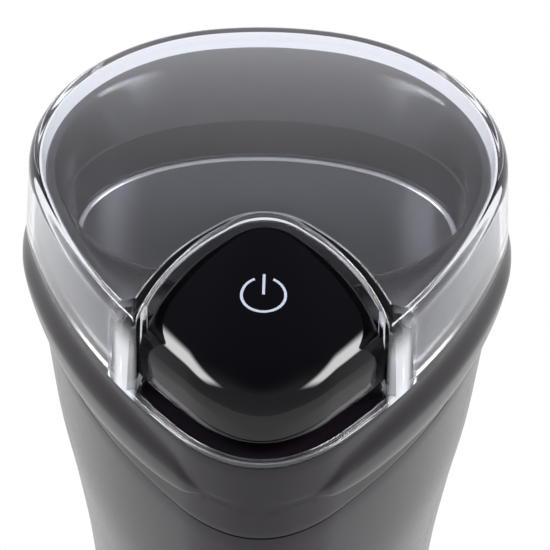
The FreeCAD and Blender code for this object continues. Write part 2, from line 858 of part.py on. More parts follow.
def make_blade():
    half = blade_width / 2.0
    tip = blade_width * 0.32
    z = blade_bottom()
    blade = box(-blade_root, blade_root, -half, half, 0, blade_thickness)
    for turn, rise in ((0.0, blade_rise), (180.0, blade_low_rise)):
        corners = [
            Vector(0, -half, 0), Vector(blade_reach - blade_root, -half, 0),
            Vector(blade_reach - blade_root - 2.0, half - tip, 0), Vector(0, half, 0),
        ]
        arm = Part.Face(Part.makePolygon(corners + corners[:1])).extrude(Vector(0, 0, blade_thickness))
        arm.rotate(Vector(0, 0, 0), Vector(0, 1, 0), -rise)
        arm.translate(Vector(blade_root, 0, 0))
        arm.rotate(Vector(0, 0, 0), Vector(0, 0, 1), turn)
        blade = blade.fuse(arm)
    blade.rotate(Vector(0, 0, 0), Vector(0, 0, 1), blade_stand)
    blade.translate(Vector(0, axis_y, z))
    return blade.cut(cylinder(shaft_radius, blade_thickness * 4.0, 0, axis_y, z - blade_thickness))


def make_blade_cap():
    bottom = blade_bottom() + blade_thickness
    cap = cylinder(blade_cap_radius, blade_cap_height, 0, axis_y, bottom)
    top = [e for e in cap.Edges if e.BoundBox.ZMin > bottom + blade_cap_height - 0.01]
    cap = cap.makeFillet(blade_cap_radius * 0.45, top)
    return cap.cut(cylinder(shaft_radius, blade_cap_height - cap_crown, 0, axis_y, bottom))


def make_motor_shaft():
    top = blade_bottom() + blade_thickness + blade_cap_height - cap_crown
    return cylinder(shaft_radius, top - shaft_bottom, 0, axis_y, shaft_bottom)


def make_armature_core():
    height = stator_height + 2.0 * armature_overhang
    bottom = stator_bottom - armature_overhang
    radius = stator_bore - air_gap
    core = tube(radius, shaft_radius, height, 0, axis_y, bottom)
    for step in range(armature_slots):
        slot = box(radius - armature_slot_depth, radius + 1.0, -armature_slot_width / 2.0,
                   armature_slot_width / 2.0, bottom - 1.0, bottom + height + 1.0)
        slot.rotate(Vector(0, 0, 0), Vector(0, 0, 1), 360.0 * step / armature_slots)
        slot.translate(Vector(0, axis_y, 0))
        core = core.cut(slot)
    return core


def make_armature_windings():
    low = stator_bottom - armature_overhang
    high = stator_bottom + stator_height + armature_overhang
    ends = []
    for bottom, outer_z in ((low - winding_height, low - winding_height), (high, high + winding_height)):
        ring = cylinder(winding_radius, winding_height, 0, axis_y, bottom)
        rim = [e for e in ring.Edges if e.BoundBox.ZLength < 0.01 and abs(e.BoundBox.ZMin - outer_z) < 0.01]
        ring = ring.makeFillet(winding_round, rim)
        ends.append(ring.cut(cylinder(shaft_radius, winding_height, 0, axis_y, bottom)))
    return Part.makeCompound(ends)


def make_commutator():
    body = tube(commutator_radius, shaft_radius, commutator_height, 0, axis_y, commutator_bottom)
    for step in range(commutator_bars):
        slot = box(commutator_radius - 1.0, commutator_radius + 1.0, -commutator_slot / 2.0,
                   commutator_slot / 2.0, commutator_bottom - 1.0,
                   commutator_bottom + commutator_height + 1.0)
        slot.rotate(Vector(0, 0, 0), Vector(0, 0, 1), 360.0 * step / commutator_bars)
        slot.translate(Vector(0, axis_y, 0))
        body = body.cut(slot)
    return body


def make_cooling_fan():
    disc = cylinder(fan_radius, fan_disc, 0, 0, fan_bottom)
    hub = cylinder(fan_hub_radius, fan_disc + fan_blade_height, 0, 0, fan_bottom)
    fan = disc.fuse(hub)
    for step in range(fan_blades):
        blade = box(fan_hub_radius - 1.0, fan_radius - 0.5, -fan_blade_thickness / 2.0,
                    fan_blade_thickness / 2.0,
                    fan_bottom + fan_disc - 0.2, fan_bottom + fan_disc + fan_blade_height)
        blade.rotate(Vector(0, 0, 0), Vector(0, 0, 1), 360.0 * step / fan_blades)
        fan = fan.fuse(blade)
    fan = fan.cut(cylinder(shaft_radius, fan_disc + fan_blade_height + 2.0, 0, 0, fan_bottom - 1.0))
    fan.translate(Vector(0, axis_y, 0))
    return fan


def make_stator_core():
    core = box(-stator_half_width, stator_half_width, -stator_half_depth, stator_half_depth,
               stator_bottom, stator_bottom + stator_height)
    uprights = [e for e in core.Edges if e.BoundBox.ZLength > stator_height - 0.1]
    core = core.makeFillet(stator_corner, uprights)
    core = core.cut(cylinder(stator_bore, stator_height + 2.0, 0, 0, stator_bottom - 1.0))
    window = coil_width + 2.0 * coil_gap
    deep = coil_thickness + 2.0 * coil_gap
    for sx in (-1.0, 1.0):
        for sy in (-1.0, 1.0):
            x = sx * (coil_half_width - coil_width / 2.0)
            y = sy * (coil_place + coil_thickness / 2.0)
            core = core.cut(box(x - window / 2.0, x + window / 2.0, y - deep / 2.0, y + deep / 2.0,
                                stator_bottom - 1.0, stator_bottom + stator_height + 1.0))
        core = core.cut(cylinder(stator_screw_radius, stator_height + 2.0, sx * stator_screw_place, 0,
                                 stator_bottom - 1.0))
    core.translate(Vector(0, axis_y, 0))
    return core


def make_field_coils():
    coils = []
    low = stator_bottom - coil_overhang
    high = stator_bottom + stator_height + coil_overhang
    for side in (-1.0, 1.0):
        near = side * coil_place
        far = side * (coil_place + coil_thickness)
        ring = box(-coil_half_width, coil_half_width, min(near, far), max(near, far), low, high)
        corners = [e for e in ring.Edges if e.BoundBox.YLength > coil_thickness - 0.1]
        ring = ring.makeFillet(coil_width, corners)
        inner_half = coil_half_width - coil_width
        ring = ring.cut(box(-inner_half, inner_half, min(near, far) - 1.0, max(near, far) + 1.0,
                            low + coil_width, high - coil_width))
        coils.append(ring)
    pair = Part.makeCompound(coils)
    pair.translate(Vector(0, axis_y, 0))
    return pair


def make_bracket(strip_bottom, foot_z, rising):
    # A bridge with a bearing hub, two legs and two feet on the stator's face.
    half = bracket_width / 2.0
    strip = box(-stator_half_width, stator_half_width, -half, half, strip_bottom,
                strip_bottom + bracket_thickness)
    hub_centre = strip_bottom + bracket_thickness / 2.0
    hub = cylinder(bearing_radius + bracket_hub_wall, bearing_length, 0, 0,
                   hub_centre - bearing_length / 2.0)
    bracket = strip.fuse(hub)
    for side in (-1.0, 1.0):
        outer = side * stator_half_width
        inner = side * (stator_half_width - bracket_leg)
        toe = side * (stator_half_width - bracket_foot_length)
        if rising:
            leg_low, leg_high = strip_bottom, foot_z
            foot_low, foot_high = foot_z - bracket_foot_height, foot_z
        else:
            leg_low, leg_high = foot_z, strip_bottom + bracket_thickness
            foot_low, foot_high = foot_z, foot_z + bracket_foot_height
        bracket = bracket.fuse(box(min(outer, inner), max(outer, inner), -half, half, leg_low, leg_high))
        bracket = bracket.fuse(box(min(outer, toe), max(outer, toe), -half, half, foot_low, foot_high))
        bracket = bracket.cut(cylinder(stator_screw_radius, bracket_foot_height + 2.0,
                                       side * stator_screw_place, 0,
                                       foot_low - 1.0))
    return bracket.cut(cylinder(bearing_radius, 2.0 * bearing_length, 0, 0, hub_centre - bearing_length))


def make_lower_bracket():
    bracket = make_bracket(lower_bracket_bottom, stator_bottom, True)
    bracket.translate(Vector(0, axis_y, 0))
    return bracket


def make_upper_bracket():
    bracket = make_bracket(upper_bracket_bottom, stator_bottom + stator_height, False)
    for x in (-mount_spacing / 2.0, mount_spacing / 2.0):
        bracket = bracket.cut(cylinder(mount_screw_radius, bracket_thickness * 3.0, x, 0,
                                       upper_bracket_bottom - 4.0))
    bracket.translate(Vector(0, axis_y, 0))
    return bracket


def make_bearing(strip_bottom):
    centre = strip_bottom + bracket_thickness / 2.0
    return tube(bearing_radius, shaft_radius + shaft_gap, bearing_length, 0, axis_y,
                centre - bearing_length / 2.0)


def make_stator_screws():
    start = stator_bottom - bracket_foot_height - stator_screw_head_height
    length = stator_height + 2.0 * bracket_foot_height
    return Part.makeCompound([
        screw(stator_screw_radius, stator_screw_head, stator_screw_head_height, length,
              Vector(x, axis_y, start), Vector(0, 0, 1))
        for x in (-stator_screw_place, stator_screw_place)
    ])


def brush_height():
    return commutator_bottom + commutator_height / 2.0


def make_brush_holders():
    half = brush_size / 2.0 + brush_holder_wall
    channel = brush_size / 2.0 + 0.1
    holders = []
    for side in (-1.0, 1.0):
        near = commutator_radius + brush_holder_gap
        far = stator_half_width - bracket_leg
        low, high = sorted((side * near, side * far))
        holder = box(low, high, -half, half, brush_height() - half, brush_height() + half)
        low, high = sorted((side * (near - 1.0), side * (far - 1.0)))
        holder = holder.cut(box(low, high, -channel, channel, brush_height() - channel,
                                brush_height() + channel))
        holders.append(holder)
    pair = Part.makeCompound(holders)
    pair.translate(Vector(0, axis_y, 0))
    return pair


def make_brushes():
    half = brush_size / 2.0
    brushes = []
    for side in (-1.0, 1.0):
        near = side * (commutator_radius + guide_gap)
        far = side * (commutator_radius + guide_gap + brush_length)
        brushes.append(box(min(near, far), max(near, far), -half, half, brush_height() - half,
                           brush_height() + half))
    pair = Part.makeCompound(brushes)
    pair.translate(Vector(0, axis_y, 0))
    return pair


def make_brush_springs():
    start = commutator_radius + guide_gap + brush_length
    length = stator_half_width - bracket_leg - 1.0 - start
    springs = []
    for side in (-1.0, 1.0):
        springs.append(tube(brush_spring_radius, brush_spring_radius - brush_spring_wall, length,
                            side * start, axis_y, brush_height(), Vector(side, 0, 0)))
    return Part.makeCompound(springs)


def make_motor_plate():
    plate = slab(plate_bottom, plate_bottom + plate_thickness)
    plate = plate.common(loft(body_levels(shell_wall + fit_gap, 2.0)))
    plate = plate.cut(cylinder(plate_hole_radius, plate_thickness + 2.0, 0, axis_y, plate_bottom - 1.0))
    for x in (-mount_spacing / 2.0, mount_spacing / 2.0):
        plate = plate.cut(cylinder(mount_screw_radius + 0.1, plate_thickness + 2.0, x, axis_y,
                                   plate_bottom - 1.0))
    port = nose_y + wire_port_place
    half = wire_port_width / 2.0
    return plate.cut(box(-half, half, port, port + wire_port_length, plate_bottom - 1.0,
                         plate_bottom + 5.0))


def make_motor_mounts():
    bottom = upper_bracket_bottom + bracket_thickness
    return Part.makeCompound([
        tube(mount_radius, mount_screw_radius + 0.1, plate_bottom - bottom, x, axis_y, bottom)
        for x in (-mount_spacing / 2.0, mount_spacing / 2.0)
    ])


def make_mount_screws():
    start = plate_bottom + plate_thickness + mount_screw_head_height
    length = start - mount_screw_head_height - upper_bracket_bottom
    return Part.makeCompound([
        screw(mount_screw_radius, mount_screw_head, mount_screw_head_height, length,
              Vector(x, axis_y, start), Vector(0, 0, -1))
        for x in (-mount_spacing / 2.0, mount_spacing / 2.0)
    ])


def make_switch_body():
    y = nose_y + post_place
    body = box(-switch_half_width, switch_half_width, y - switch_half_depth, y + switch_half_depth,
               switch_top - switch_height, switch_top)
    body = body.cut(cylinder(plunger_radius + guide_gap, plunger_hole_depth, 0, y,
                             switch_top - plunger_hole_depth))
    for x in switch_screw_places:
        body = body.cut(cylinder(switch_screw_radius, switch_half_depth * 4.0, x,
                                 y - switch_half_depth * 2.0,
                                 switch_screw_height(), Vector(0, 1, 0)))
    return body


def switch_screw_height():
    return switch_top - switch_height + 4.0


def make_switch_plunger():
    y = nose_y + post_place
    top = post_end - running_gap
    bottom = switch_top - plunger_hole_depth + button_travel + guide_gap
    return cylinder(plunger_radius, top - bottom, 0, y, bottom)


def make_switch_mount():
    y = nose_y + post_place + switch_half_depth
    top = pit_floor - pit_floor_thickness
    plate = box(-switch_half_width, switch_half_width, y, y + mount_arm, switch_top - switch_height, top)
    plate = plate.fuse(box(-switch_half_width, switch_half_width, y, y + mount_flange, top - mount_arm,
                           top))
    for x in switch_screw_places:
        plate = plate.cut(cylinder(switch_screw_radius, mount_arm + 2.0, x, y - 1.0,
                                   switch_screw_height(),
                                   Vector(0, 1, 0)))
    return plate


def make_switch_screws():
    y = nose_y + post_place - switch_half_depth - switch_screw_head_height
    length = 2.0 * switch_half_depth + mount_arm
    return Part.makeCompound([
        screw(switch_screw_radius, switch_screw_head, switch_screw_head_height, length,
              Vector(x, y, switch_screw_height()), Vector(0, 1, 0))
        for x in switch_screw_places
    ])


def make_terminal_block():
    y = nose_y + terminal_place
    half = terminal_width / 2.0
    block = box(-half, half, y, y + terminal_deep, terminal_height, terminal_height + terminal_tall)
    for x in terminal_ports:
        block = block.cut(cylinder(wire_radius + 0.5, terminal_tall / 2.0, x, y + terminal_deep / 2.0,
                                   terminal_height + terminal_tall / 2.0))
    return block


def make_thermal_cutout():
    y = axis_y - stator_half_depth - cutout_radius
    bottom = stator_bottom + (stator_height - cutout_length) / 2.0
    return cylinder(cutout_radius, cutout_length, 0, y, bottom)


def wire_along(points, end_direction):
    curve = Part.BSplineCurve()
    curve.interpolate(Points=points, InitialTangent=Vector(0, 0, 1), FinalTangent=end_direction)
    path = Part.Wire(curve.toShape())
    start = curve.tangent(curve.FirstParameter)[0]
    ring = Part.Wire(Part.makeCircle(wire_radius, points[0], start))
    return path.makePipeShell([ring], True, False)


def make_lead_wires():
    # Two leads from the terminal block up to the switch, and two back to the field coils.
    block_y = nose_y + terminal_place + terminal_deep / 2.0
    block_top = terminal_height + terminal_tall
    post_y = nose_y + post_place
    switch_foot = switch_top - switch_height
    coil_front = axis_y - coil_place - coil_thickness
    coil_top = stator_bottom + stator_height + coil_overhang - coil_width / 2.0
    start_height = block_top - terminal_tall / 2.0 + guide_gap
    wires = []
    for x in terminal_ports:
        start = Vector(x, block_y, start_height)
        if abs(x) < terminal_width / 4.0:
            points = [start, Vector(x, (block_y + post_y) / 2.0, (block_top + switch_foot) / 2.0),
                      Vector(x, post_y, switch_foot)]
            wires.append(wire_along(points, Vector(0, 0, 1)))
        else:
            points = [start, Vector(x, (block_y + coil_front) / 2.0, coil_top + 4.0),
                      Vector(x, coil_front, coil_top)]
            wires.append(wire_along(points, Vector(0, 1, 0)))
    return Part.makeCompound(wires)


def make_cord_inlet():
    outside = nose_y + plan_depth - body_profile[-2][3]
    direction = Vector(0, 1, 0)
    start = outside - shell_wall - inlet_inner_reach
    gland = cylinder(inlet_radius, outside + inlet_flange - start, 0, start, inlet_height, direction)
    gland = gland.fuse(cylinder(inlet_flange_radius, inlet_flange, 0, outside + inlet_seat,
                                inlet_height, direction))
    return gland.cut(cylinder(inlet_bore, 30.0, 0, start - 5.0, inlet_height, direction))


def save(name, shape):
    shape.exportStep("parts/" + name + ".step")
    print(name, "solids", len(shape.Solids), "volume", round(shape.Volume, 1))


os.makedirs("parts", exist_ok=True)
front_shell, rear_shell = make_body_shells()
push_button, button_mark = make_push_button()
pieces = {
    "clear_lid": make_clear_lid(),
    "push_button": push_button,
    "button_mark": button_mark,
    "button_spring": make_button_spring(),
    "top_collar": make_top_collar(),
    "front_shell": front_shell,
    "rear_shell": rear_shell,
    "base_cover": make_base_cover(),
    "rubber_feet": make_rubber_feet(),
    "base_screws": make_base_screws(),
    "cord_inlet": make_cord_inlet(),
    "grinding_bowl": make_grinding_bowl(),
    "bowl_gasket": make_bowl_gasket(),
    "bowl_clamp": make_bowl_clamp(),
    "clamp_screws": make_clamp_screws(),
    "shaft_seal": make_shaft_seal(),
    "blade_spacer": make_blade_spacer(),
    "blade": make_blade(),
    "blade_cap": make_blade_cap(),
    "motor_shaft": make_motor_shaft(),
    "armature_core": make_armature_core(),
    "armature_windings": make_armature_windings(),
    "commutator": make_commutator(),
    "cooling_fan": make_cooling_fan(),
    "stator_core": make_stator_core(),
    "field_coils": make_field_coils(),
    "lower_bracket": make_lower_bracket(),
    "upper_bracket": make_upper_bracket(),
    "lower_bearing": make_bearing(lower_bracket_bottom),
    "upper_bearing": make_bearing(upper_bracket_bottom),
    "stator_screws": make_stator_screws(),
    "brush_holders": make_brush_holders(),
    "carbon_brushes": make_brushes(),
    "brush_springs": make_brush_springs(),
    "motor_plate": make_motor_plate(),
    "motor_mounts": make_motor_mounts(),
    "mount_screws": make_mount_screws(),
    "switch_body": make_switch_body(),
    "switch_plunger": make_switch_plunger(),
    "switch_mount": make_switch_mount(),
    "switch_screws": make_switch_screws(),
    "terminal_block": make_terminal_block(),
    "thermal_cutout": make_thermal_cutout(),
    "lead_wires": make_lead_wires(),
}
for name, shape in pieces.items():
    save(name, shape)
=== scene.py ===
import bpy
import bmesh
import math
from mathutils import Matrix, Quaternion, Vector


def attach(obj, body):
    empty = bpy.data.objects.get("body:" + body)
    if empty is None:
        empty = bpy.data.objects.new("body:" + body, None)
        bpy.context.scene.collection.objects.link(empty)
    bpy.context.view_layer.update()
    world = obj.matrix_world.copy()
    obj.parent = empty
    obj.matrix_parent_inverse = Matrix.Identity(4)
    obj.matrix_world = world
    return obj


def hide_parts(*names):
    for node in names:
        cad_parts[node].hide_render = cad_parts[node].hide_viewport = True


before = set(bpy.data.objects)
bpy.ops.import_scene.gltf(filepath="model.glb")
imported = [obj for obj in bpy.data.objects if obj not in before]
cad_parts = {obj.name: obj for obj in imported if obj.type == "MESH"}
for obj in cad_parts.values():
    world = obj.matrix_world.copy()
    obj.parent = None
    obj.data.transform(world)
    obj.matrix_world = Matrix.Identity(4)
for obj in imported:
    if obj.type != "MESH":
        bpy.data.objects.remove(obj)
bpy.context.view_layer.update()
mm = 0.001
bpy.ops.object.select_all(action="DESELECT")

# The egg-shaped plan at the lid's lower edge, in millimetres: radius of each arc from the
# nose to the back, and the turn in degrees at which it ends.
plan = {
    "arcs": ((15.5, 25.0), (27.0, 47.0), (150.0, 53.0), (122.0, 73.5), (41.7, 169.0)),
    "seatHeight": 160.0,
    "seamHeight": 143.0,
    "ringPoints": 288,
}
# The arched bay round the button, measured on its clear opening.
bay = {
    "halfWidth": 23.6,
    "crownRadius": 10.3,
    "legRadius": 38.0,
    "flankAngle": 38.0,
    "depth": 44.0,
    "wall": 2.4,
    "slideGap": 0.5,
}


# ---- shapes in plan ----
def planHalf():
    # Arcs of one half, each with its start turn, end turn, radius, start point and length.
    arcs = []
    x = y = turn = 0.0
    for radius, end in plan["arcs"]:
        stop = math.radians(end)
        arcs.append((turn, stop, radius, x, y, radius * (stop - turn)))
        x += radius * (math.sin(stop) - math.sin(turn))
        y += radius * (math.cos(turn) - math.cos(stop))
        turn = stop
    back = x / math.sin(turn)
    arcs.append((turn, math.pi, back, x, y, back * (math.pi - turn)))
    return arcs, y + back * (1.0 + math.cos(turn))


planArcs, planDepth = planHalf()
halfLength = sum(arc[5] for arc in planArcs)
noseY = -planDepth / 2.0
domeCentre = noseY + 0.53 * planDepth
bowlCentre = noseY + 71.5


def outline(length, inset=0.0):
    # Point on the plan at a length along it from the nose, moved in by the inset, and its normal.
    length = length % (2.0 * halfLength)
    side = 1.0
    if length > halfLength:
        length = 2.0 * halfLength - length
        side = -1.0
    for start, stop, radius, x, y, size in planArcs:
        if length <= size + 1e-9:
            break
        length -= size
    turn = min(start + length / radius, stop)
    px = x + radius * (math.sin(turn) - math.sin(start))
    py = noseY + y + radius * (math.cos(start) - math.cos(turn))
    nx = math.sin(turn)
    ny = -math.cos(turn)
    return side * (px - inset * nx), py - inset * ny, side * nx, ny


def planRing(z, inset=0.0, across=1.0, front=0.0, back=0.0, shrink=1.0):
    stretch = (planDepth - front - back) / planDepth
    ring = []
    for i in range(plan["ringPoints"]):
        x, y, nx, ny = outline(2.0 * halfLength * i / plan["ringPoints"], inset)
        y = noseY + front + (y - noseY) * stretch
        ring.append((x * across * shrink, domeCentre + (y - domeCentre) * shrink, z))
    return ring


def reachTable():
    # Distance from the dome's centre to the plan, by direction.
    steps = 720
    table = []
    for i in range(steps + 1):
        x, y, nx, ny = outline(2.0 * halfLength * i / steps)
        table.append((math.atan2(x, -(y - domeCentre)) % (2.0 * math.pi), math.hypot(x, y - domeCentre)))
    table[-1] = (2.0 * math.pi, table[-1][1])
    return table


planReach = reachTable()


def share(x, y, inset=0.0):
    # How far out a point lies between the dome's centre, 0, and the plan moved in by the inset, 1.
    angle = math.atan2(x, -(y - domeCentre)) % (2.0 * math.pi)
    low, high = 0, len(planReach) - 1
    while high - low > 1:
        middle = (low + high) // 2
        if planReach[middle][0] <= angle:
            low = middle
        else:
            high = middle
    a, b = planReach[low], planReach[high]
    reach = a[1] + (b[1] - a[1]) * (angle - a[0]) / max(b[0] - a[0], 1e-9)
    return math.hypot(x, y - domeCentre) / (reach - inset)


def archPoint(length, grow=0.0):
    # Point on the arch at a length along it from the crown towards +X, and its normal.
    side = 1.0 if length >= 0.0 else -1.0
    length = abs(length)
    turn = math.radians(bay["flankAngle"])
    crown = bay["crownRadius"] + grow
    leg = bay["legRadius"] + grow
    half = bay["halfWidth"] + grow
    head = noseY + bay["depth"] + grow
    crownX = crown * math.sin(turn)
    crownY = head - crown * (1.0 - math.cos(turn))
    legX = half - leg * (1.0 - math.sin(turn))
    flank = (legX - crownX) / math.cos(turn)
    legY = crownY - flank * math.sin(turn)
    if length < crown * turn:
        t = length / crown
        across, along = math.sin(t), math.cos(t)
        return side * crown * across, head - crown * (1.0 - along), side * across, along
    length -= crown * turn
    if length < flank:
        x = crownX + length * math.cos(turn)
        return side * x, crownY - length * math.sin(turn), side * math.sin(turn), math.cos(turn)
    length -= flank
    if length < leg * (math.pi / 2.0 - turn):
        t = turn + length / leg
        x = half - leg * (1.0 - math.sin(t))
        return side * x, legY - leg * (math.cos(turn) - math.cos(t)), side * math.sin(t), math.cos(t)
    length -= leg * (math.pi / 2.0 - turn)
    return side * half, legY - leg * math.cos(turn) - length, side, 0.0


def bayCorner(inset, grow):
    # Lengths along the plan and along the arch at which the two cross on the +X side.
    half = bay["halfWidth"] + grow
    low, high = 0.0, halfLength / 2.0
    for _ in range(50):
        middle = (low + high) / 2.0
        if outline(middle, inset)[0] < half:
            low = middle
        else:
            high = middle
    y = outline(low, inset)[1]
    first, last = 0.0, 200.0
    for _ in range(50):
        middle = (first + last) / 2.0
        if archPoint(middle, grow)[1] > y:
            first = middle
        else:
            last = middle
    return low, first


def smooth(t):
    t = min(max(t, 0.0), 1.0)
    return t * t * (3.0 - 2.0 * t)


def follow(table, x):
    # Smooth value between the rows of a table.
    if x <= table[0][0]:
        return table[0][1]
    for i in range(len(table) - 1):
        x0, y0 = table[i]
        x1, y1 = table[i + 1]
        if x <= x1:
            before = table[max(i - 1, 0)]
            after = table[min(i + 2, len(table) - 1)]
            m0 = (y1 - before[1]) / max(x1 - before[0], 1e-9)
            m1 = (after[1] - y0) / max(after[0] - x0, 1e-9)
            h = x1 - x0
            t = (x - x0) / h
            return ((1 + 2 * t) * (1 - t) ** 2 * y0 + t * (1 - t) ** 2 * h * m0
                    + t * t * (3 - 2 * t) * y1 + t * t * (t - 1) * h * m1)
    return table[-1][1]


# ---- modelling helpers ----
def deselect():
    if bpy.context.object and bpy.context.object.mode != "OBJECT":
        bpy.ops.object.mode_set(mode="OBJECT")
    bpy.ops.object.select_all(action="DESELECT")


def loftPiece(name, rings, startCap="", endCap="", closed=True, join=False):
    # A circle is set on the first ring, and its edge is extruded from ring to ring.
    deselect()
    bpy.ops.mesh.primitive_circle_add(vertices=len(rings[0]), radius=0.05)
    piece = bpy.context.object
    piece.name = name
    order = piece.data.attributes.new("order", "INT", "POINT")
    for i, corner in enumerate(piece.data.vertices):
        order.data[i].value = i
        corner.co = Vector(rings[0][i]) * mm
    bpy.ops.object.mode_set(mode="EDIT")
    bpy.ops.mesh.select_mode(type="VERT")
    bpy.ops.mesh.select_all(action="SELECT")
    if not closed:
        shape = bmesh.from_edit_mesh(piece.data)
        layer = shape.verts.layers.int["order"]
        last = len(rings[0]) - 1
        for edge in list(shape.edges):
            if {v[layer] for v in edge.verts} == {0, last}:
                shape.edges.remove(edge)
        bmesh.update_edit_mesh(piece.data)
    for ring in rings[1:]:
        bpy.ops.mesh.extrude_region_move()
        shape = bmesh.from_edit_mesh(piece.data)
        layer = shape.verts.layers.int["order"]
        for corner in shape.verts:
            if corner.select:
                corner.co = Vector(ring[corner[layer]]) * mm
    if endCap:
        closeEnd(endCap)
    if startCap or join:
        shape = bmesh.from_edit_mesh(piece.data)
        shape.verts.ensure_lookup_table()
        count = len(rings[0])
        ends = {v.index for v in shape.verts if v.select} if join else set()
        for corner in shape.verts:
            corner.select_set(corner.index < count or corner.index in ends)
        shape.select_flush_mode()
        bmesh.update_edit_mesh(piece.data)
        if join:
            bpy.ops.mesh.bridge_edge_loops()
        else:
            closeEnd(startCap)
    bpy.ops.mesh.select_all(action="SELECT")
    bpy.ops.mesh.remove_doubles(threshold=0.5e-6)
    bpy.ops.mesh.normals_make_consistent(inside=False)
    bpy.ops.object.mode_set(mode="OBJECT")
    return piece


def closeEnd(kind):
    if kind == "pole":
        bpy.ops.mesh.merge(type="CENTER")
    else:
        bpy.ops.mesh.edge_face_add()


def applyModifiers(piece):
    deselect()
    piece.select_set(True)
    bpy.context.view_layer.objects.active = piece
    for modifier in list(piece.modifiers):
        bpy.ops.object.modifier_apply(modifier=modifier.name)


def cutWith(piece, cutter, operation="DIFFERENCE"):
    step = piece.modifiers.new("cut", "BOOLEAN")
    step.operation = operation
    step.solver = "EXACT"
    step.object = cutter
    applyModifiers(piece)
    bpy.data.objects.remove(cutter, do_unlink=True)


def finishPiece(piece, body, slotName, material, *nodes, angle=35.0):
    deselect()
    piece.select_set(True)
    bpy.context.view_layer.objects.active = piece
    bpy.ops.object.shade_smooth_by_angle(angle=math.radians(angle))
    if piece.data.attributes.get("order"):
        piece.data.attributes.remove(piece.data.attributes["order"])
    piece.data.materials.clear()
    piece.data.materials.append(material)
    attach(piece, body)
    if nodes:
        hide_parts(*nodes)
    print("made", piece.name, len(piece.data.polygons), "faces")
    return piece


# ---- materials ----
def linear(hexColour):
    values = [int(hexColour[i:i + 2], 16) / 255.0 for i in (1, 3, 5)]
    return [v / 12.92 if v <= 0.04045 else ((v + 0.055) / 1.055) ** 2.4 for v in values] + [1.0]


def addNode(tree, kind, links=None, **settings):
    node = tree.nodes.new(kind)
    for key, value in settings.items():
        if key.startswith("_"):
            node.inputs[key[1:].replace("_", " ")].default_value = value
        else:
            setattr(node, key, value)
    for name, source in (links or {}).items():
        tree.links.new(source, node.inputs[name])
    return node


def newMaterial(name):
    material = bpy.data.materials.new(name)
    material.use_nodes = True
    tree = material.node_tree
    tree.nodes.clear()
    surface = addNode(tree, "ShaderNodeBsdfPrincipled")
    output = addNode(tree, "ShaderNodeOutputMaterial", {"Surface": surface.outputs["BSDF"]})
    place = addNode(tree, "ShaderNodeTexCoord")
    return material, tree, surface, output, place


# Styrene acrylonitrile, injection moulded and polished: water-clear, with faint flow waves.
def clearSan():
    material, tree, surface, output, place = newMaterial("clearSan")
    surface.inputs["Base Color"].default_value = linear("#F7F9FF")
    surface.inputs["IOR"].default_value = 1.52
    surface.inputs["Roughness"].default_value = 0.015
    # The plastic is a little milky all over. In the thick legs beside the button it is made far less
    # clear: a painted highlight that turns them white where light led through the clear plastic makes them
    # bright.
    # Each band is a coordinate with where it is clear and where it is full.
    sides = addNode(tree, "ShaderNodeSeparateXYZ", {"Vector": place.outputs["Object"]})
    mirrored = addNode(tree, "ShaderNodeMath", {0: sides.outputs["X"]}, operation="ABSOLUTE")

    def paintedLegBand(source, clear, full):
        band = addNode(tree, "ShaderNodeMapRange", {"Value": source}, interpolation_type="SMOOTHSTEP")
        band.inputs["From Min"].default_value = clear * mm
        band.inputs["From Max"].default_value = full * mm
        return band.outputs["Result"]

    def combined(first, second):
        return addNode(tree, "ShaderNodeMath", {0: first, 1: second}, operation="MULTIPLY").outputs[0]

    # Painted highlight: this mask makes the legs beside the button far less clear, so they show white and
    # bright.
    leg = combined(paintedLegBand(mirrored.outputs[0], 22.3, 23.5), paintedLegBand(mirrored.outputs[0], 27.2, 25.9))
    leg = combined(leg, paintedLegBand(sides.outputs["Y"], noseY + 31.0, noseY + 24.0))
    leg = combined(leg, paintedLegBand(sides.outputs["Z"], 176.5, 169.0))
    passed = addNode(tree, "ShaderNodeMapRange", {"Value": leg})
    passed.inputs["To Min"].default_value = 0.9975
    passed.inputs["To Max"].default_value = 0.45
    tree.links.new(passed.outputs["Result"], surface.inputs["Transmission Weight"])
    waves = addNode(tree, "ShaderNodeTexNoise", {"Vector": place.outputs["Object"]},
                    _Scale=90.0, _Detail=1.0)
    bump = addNode(tree, "ShaderNodeBump", {"Height": waves.outputs["Fac"]},
                   _Strength=0.02, _Distance=0.0004)
    tree.links.new(bump.outputs["Normal"], surface.inputs["Normal"])
    return material


# ABS, injection moulded: in a mirror-polished tool a wet gloss, in a finely blasted one a satin,
# both with faint flow clouds in the colour.
def glossAbs(name, shade, second, roughness, ior=1.54):
    material, tree, surface, output, place = newMaterial(name)
    surface.inputs["IOR"].default_value = ior
    flow = addNode(tree, "ShaderNodeTexNoise", {"Vector": place.outputs["Object"]},
                   _Scale=25.0, _Detail=2.0)
    tint = addNode(tree, "ShaderNodeMix", {"Factor": flow.outputs["Fac"]}, data_type="RGBA")
    tint.inputs["A"].default_value = linear(shade)
    tint.inputs["B"].default_value = linear(second)
    tree.links.new(tint.outputs["Result"], surface.inputs["Base Color"])
    grain = addNode(tree, "ShaderNodeTexNoise", {"Vector": place.outputs["Object"]},
                    _Scale=900.0, _Detail=2.0)
    polish = addNode(tree, "ShaderNodeMapRange", {"Value": grain.outputs["Fac"]})
    polish.inputs["To Min"].default_value = roughness * 0.8
    polish.inputs["To Max"].default_value = roughness * 1.2
    tree.links.new(polish.outputs["Result"], surface.inputs["Roughness"])
    return material


